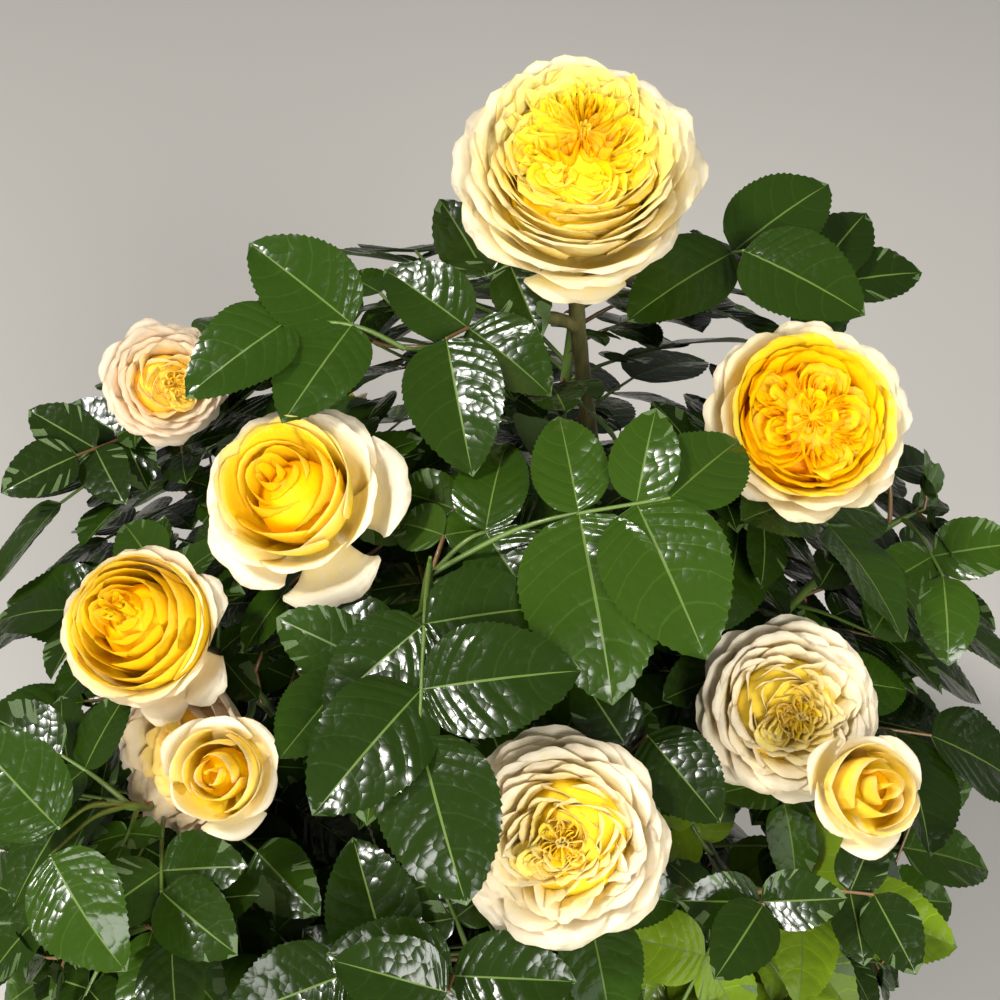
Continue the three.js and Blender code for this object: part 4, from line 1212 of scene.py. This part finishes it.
    def calyx(self):
        """The hip under the petals, and the five sepals."""
        heights = np.array([-2.5, 0, 1.5, 4, 6.5, 8.5])
        radii = np.array([1.7, 2.4, 4.2, 5.2, 4.6, 4.8]) * self.radius / 45
        tube(self.pile, self.origin + heights[:, None] * self.axis, radii, 12, SEPAL_SLOT)
        for i in range(5):
            self.petal(i * 72 + 20 + self.vary(10), 0.56, -0.12 + self.vary(0.1), 0.09, (0, 0), flare=0.6,
                       low=0.02, belly=0.5, pointed=1, ruffle=0.01, slot=SEPAL_SLOT, mesh=PLAIN)


def rosette(flower):
    """A very full dome of large petals, with packed swirls below its middle and broad folds above."""
    flower.ring(8, 1.02, 0.66, 0.5, (0.72, 1.0), wander=0.04, ruffle=0.04, roll=0.2, blunt=0.3)
    flower.petal(268, 1.08, 0.4, 0.42, (0.6, 0.95), flare=1.0, low=0.3)
    flower.ring(8, 0.96, 0.8, 0.46, (0.6, 0.98), start=25, ruffle=0.035, blunt=0.35)
    flower.petals([(92, 0.84, 1), (124, 0.87, 1), (156, 0.86, 1)], 0.42, (0.3, 0.94), blunt=0.3)
    for i, reach in enumerate((0.87, 0.81, 0.76, 0.71, 0.66, 0.61)):
        pale = (mix(0.46, 0.26, i / 5), mix(0.92, 0.66, i / 5))
        flower.ring(8, reach, 0.9 + 0.035 * i, mix(0.46, 0.32, i / 5), pale, start=22 * i, wander=0.06,
                    flare=0.93, ruffle=0.022, blunt=0.35, mesh=PLAIN)
    flower.core(0.56, 1.0, 0.4)
    flower.quilt(26, 0.72, 0.34, 1.08, (0.14, 0.66), half=0.26)
    for turn, away, size in ((228, 0.36, 0.27), (278, 0.34, 0.27), (326, 0.37, 0.27), (188, 0.4, 0.22),
                             (10, 0.4, 0.22)):
        flower.swirl(turn + flower.vary(8), away, size, 5, 1.12, (0.08, 0.62), low=0.8)
    for turn in (48, 76, 104, 132, 158):
        for level, size in enumerate((1, 0.88, 0.74, 0.56)):
            flower.fold(turn + flower.vary(4), 17 - 3 * level, 0.6 * size, 1.14 + flower.vary(0.015),
                        (0.08, 0.66), 0.04, low=0.88, lean=0.14, ruffle=0.02, dip=0.04)
    flower.star(9, 0.24, 1.12, 0.08, nested=(1, 0.7))
    flower.button(0.05, 1.13, 0.45)


def fine_rosette(flower):
    """A flatter, paler rosette, with a few broad guards around many small petals."""
    guard = {"wander": 0.04, "ruffle": 0.018, "blunt": 0.3, "notch": 0.02}
    flower.ring(8, 1.02, 0.72, 0.48, (0.72, 1.0), roll=0.15, **guard)
    flower.ring(8, 0.96, 0.86, 0.46, (0.62, 0.98), start=25, **guard)
    flower.petals([(turn, 0.86, 1.06) for turn in (104, 138, 168)], 0.42, (0.5, 0.98), blunt=0.3)
    for i, reach in enumerate((0.88, 0.8, 0.72)):
        pale = (mix(0.72, 0.62, i / 2), mix(0.98, 0.9, i / 2))
        flower.ring(9, reach, 0.96 + 0.03 * i, 0.36, pale, start=13 * i, wander=0.07, ruffle=0.015,
                    blunt=0.34, notch=0.02, mesh=PLAIN)
    # The middle has paler colours than the full rosette's: partly its own paler yellow, partly painted light
    # that lifts the shade deep among its folds.
    flower.core(0.58, 1.0, 0.44)
    flower.quilt(70, 0.74, 0.1, 1.1, (0.34, 0.9), half=0.25)
    flower.swirl(215, 0.3, 0.2, 4, 1.15, (0.36, 0.7), low=0.85)
    flower.star(7, 0.2, 1.13, 0.4, nested=(1, 0.7))
    flower.button(0.06, 1.15, 0.55)


def cup(flower):
    """Broad pale guards around a deep cup of tightly packed swirls."""
    flower.ring(8, 1.03, 0.84, 0.43, (0.72, 1.0), wander=0.03, ruffle=0.018, blunt=0.34)
    flower.ring(7, 0.94, 0.97, 0.46, (0.5, 0.98), start=24, flare=0.9, ruffle=0.015, blunt=0.28)
    wall = {"flare": 0.8, "belly": 1.0, "ruffle": 0.012}
    flower.ring(8, 0.8, 1.1, 0.42, (0.2, 0.5), **wall)
    flower.ring(8, 0.73, 1.1, 0.38, (0.12, 0.3), start=20, mesh=PLAIN, **wall)
    flower.ring(9, 0.66, 1.08, 0.32, (0.1, 0.26), mesh=PLAIN, **wall)
    flower.core(0.64, 1.02, 0.14)
    for turn, away, size in ((72, 0.33, 0.3), (352, 0.36, 0.33), (200, 0.34, 0.36), (140, 0.42, 0.24),
                             (290, 0.4, 0.3)):
        flower.swirl(turn + flower.vary(6), away, size, 7, 1.1, (0.06, 0.26))
    flower.star(6, 0.2, 1.12, 0.26, dip=0.1)
    flower.petal(285, 0.6, 1.2, 0.2, (0.2, 0.46), flare=0.9, ruffle=0.05, roll=0.4)


def spiral(flower, count, outer, inner, rise, pale, half):
    """Petals wound round the middle, each inside the last, curved in over it."""
    for i in range(count):
        share = i / (count - 1)
        reach = mix(outer, inner, share**0.85)
        shade = mix(*pale, share)
        flower.petal(i * 137.5, reach, mix(*rise, share), reach * half, (shade - 0.1, shade + 0.08),
                     flare=-0.6, belly=1.25, hollow=1.0, ruffle=0.01, blunt=0.1, notch=0.0, mesh=PLAIN)


def open_cup(flower):
    """Loose cream petals around a golden cup with a bud still wound up in it."""
    loose = [(292, 1.14, 0.45), (10, 1.12, 0.62), (62, 0.98, 0.7), (118, 1.0, 0.66), (165, 0.96, 0.6),
             (222, 1.02, 0.56)]
    flower.petals(loose, 0.56, (0.7, 1.0), flare=1.0, ruffle=0.03, roll=0.4)
    flower.ring(6, 0.84, 0.96, 0.52, (0.4, 0.97), start=40, flare=0.85, roll=0.3)
    flower.ring(6, 0.68, 1.16, 0.5, (0.16, 0.6), start=15, flare=0.6, belly=1.0)
    flower.ring(5, 0.58, 1.14, 0.46, (0.12, 0.4), start=40, flare=0.5, belly=1.0, mesh=PLAIN)
    flower.core(0.42, 0.9, 0.1)
    spiral(flower, 10, 0.46, 0.06, (1.0, 1.16), (0.28, 0.14), 1.4)


def ball(flower):
    """A deep ball of close petals, with pale guards that hang away on one side."""
    flower.ring(7, 1.0, 0.84, 0.56, (0.6, 0.97), start=10, flare=0.9, ruffle=0.035, blunt=0.3)
    hanging = [(318, 1.22, 0.5), (282, 1.16, 0.42), (24, 1.1, 0.74)]
    flower.petals(hanging, 0.4, (0.7, 1.0), flare=1.0, roll=0.3, blunt=0.4)
    flower.ring(7, 0.92, 1.0, 0.52, (0.3, 0.86), start=30, flare=0.8, ruffle=0.03, blunt=0.3)
    for i in range(6):
        share = i / 5
        reach = mix(0.8, 0.22, share)
        flower.ring(6 if i < 4 else 4, reach, mix(1.08, 1.34, share**0.8), reach * 0.85,
                    (0.16, mix(0.34, 0.22, share)), start=25 * i, flare=mix(0.1, -0.6, share), belly=1.2,
                    ruffle=0.012, hollow=0.95, wander=0.03, blunt=0.14, notch=0.02, mesh=PLAIN)
    flower.core(0.5, 1.1, 0.16)
    flower.star(5, 0.14, 1.36, 0.2)


def bud(flower):
    """A bud that is half open: a golden cone wound up, and a few pale outer petals with points."""
    outer = [(148, 1.12, 0.62, 0.5), (92, 0.92, 0.84, 0.2), (38, 1.08, 0.8, 0.35), (338, 0.96, 0.62, 0.3),
             (282, 1.16, 0.42, 0.5), (212, 0.94, 0.56, 0.4)]
    for turn, reach, rise, pointed in outer:
        flower.petal(turn, reach, rise, 0.6, (0.62, 1.0), pointed=pointed, ruffle=0.04, roll=0.3)
    flower.ring(4, 0.74, 1.02, 0.66, (0.26, 0.7), start=50, flare=0.4, belly=1.05, pointed=0.1)
    flower.core(0.4, 1.0, 0.3)
    spiral(flower, 7, 0.6, 0.08, (1.16, 1.5), (0.42, 0.3), 1.5)


def spent(flower):
    """A loose bloom that fades to pink at its frilled rims."""
    flower.ring(9, 1.02, 0.7, 0.48, (0.75, 1.0), ruffle=0.045, roll=0.3, blunt=0.3)
    flower.ring(9, 0.92, 0.86, 0.46, (0.6, 0.98), start=15, ruffle=0.045, blunt=0.3)
    flower.ring(9, 0.81, 0.97, 0.42, (0.45, 0.95), ruffle=0.045, blunt=0.3, mesh=PLAIN)
    flower.ring(9, 0.7, 1.03, 0.36, (0.35, 0.85), start=15, ruffle=0.04, blunt=0.3, mesh=PLAIN)
    flower.core(0.5, 0.95, 0.2)
    flower.quilt(26, 0.6, 0.15, 1.06, (0.1, 0.6), half=0.26)
    flower.swirl(310, 0.26, 0.24, 5, 1.12, (0.05, 0.4), low=0.85)
    flower.star(6, 0.18, 1.08, 0.2)


class Likeness(NamedTuple):
    """How much paler than its kind a bloom is, where its middle lies, and how far its petals lean aside."""

    shift: float = 0
    middle: tuple = (0, 0)
    lean: tuple = (0, 0)
    size: float = 1


LIKENESS = {
    ("top", "rosette"): Likeness(-0.03, middle=(0.03, 0.18), lean=(0, 0.14)),
    ("front", "rosette"): Likeness(0.04, lean=(-0.1, 0)),
    ("right_front", "rosette"): Likeness(0.06, middle=(0.1, -0.08), lean=(0, -0.04), size=1.04),
    ("right_front", "bud"): Likeness(0.05),
    ("left", "cup"): Likeness(0.07, middle=(-0.2, 0.25), lean=(-0.03, -0.04), size=1.04),
    ("left", "bud"): Likeness(0.05),
    ("left", "spent"): Likeness(middle=(0.2, 0.2), lean=(-0.3, -0.25), size=1.25),
    ("far_left", "spent"): Likeness(middle=(0.2, -0.1)),
    ("centre_left", "open"): Likeness(0.06, middle=(-0.25, 0.25), lean=(-0.06, 0.06)),
    ("right", "cup"): Likeness(-0.04, lean=(-0.04, 0), size=1.03),
}
LOOKS = {"rosette": rosette, "cup": cup, "open": open_cup, "bud": bud, "spent": spent}
# Blooms that look otherwise than their solid is named for
OWN_LOOKS = {
    ("left", "cup"): ball, ("front", "rosette"): fine_rosette, ("right_front", "rosette"): fine_rosette,
}

for number, bloom in enumerate(blooms):
    key = (bloom.limb.name, bloom.style)
    flower = Flower(bloom, SEEDS.bloom + number, LIKENESS.get(key, Likeness()))
    OWN_LOOKS.get(key, LOOKS[bloom.style])(flower)
    flower.calyx()
    flower.pile.build("bloom_{}_{}".format(*key), petal_materials, "foliage", ["foliage_" + key[0]])


# Canes and the main stem


def stem_radius(height):
    flare = (STEM.foot - STEM.waist) * np.exp(-height / STEM.flare)
    swelling = np.sin(math.pi * np.clip((height - STEM.swell_from) / STEM.swell_span, 0, 1))
    return STEM.waist + flare + (STEM.head - STEM.waist) * swelling


def make_canes():
    canes = Pile()
    for limb in limbs.values():
        t = np.linspace(0, limb.split, max(12, int(limb.length * limb.split / 5)))
        seed = limb.index * 1.7

        def relief(ring, angle):
            ring = ring[:, None]
            return 1 + 0.05 * np.sin(3 * angle + ring * 0.23 + seed) + 0.04 * np.sin(ring * 1.3 + seed)

        tube(canes, limb.curve.at(t), shoot_radius(limb, t), 12, 0, relief)
        prickles(canes, limb, 0.12, limb.split, 1)
    canes.build("canes", [cane_material, shoot_materials[2]], "cane", ["cane_" + name for name in limbs])


def make_stem():
    stem = Pile()
    heights = np.linspace(0, STEM.height, 40)

    def relief(ring, angle):
        height = heights[ring][:, None]
        knobs = 0.07 * np.sin(3 * angle + height / 9) + 0.05 * np.sin(5 * angle - height / 14)
        furrows = 0.03 * np.sin(17 * angle + 2 * np.sin(height / 6)) + 0.02 * np.sin(29 * angle + height / 5)
        return 1 + knobs + furrows

    radii = stem_radius(heights)
    radii[-1] *= 0.6
    tube(stem, stem_axis(heights), radii, 48, 0, relief)
    stem.points[-1][:, 2] = np.maximum(stem.points[-1][:, 2], 0)
    stem.build("bark", [stem_material], "bark", ["main_stem"])


make_canes()
make_stem()

boxes = {"cad": CAD_BOX, "visual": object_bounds()}
{name: [list(corner) for corner in box] for name, box in boxes.items()}
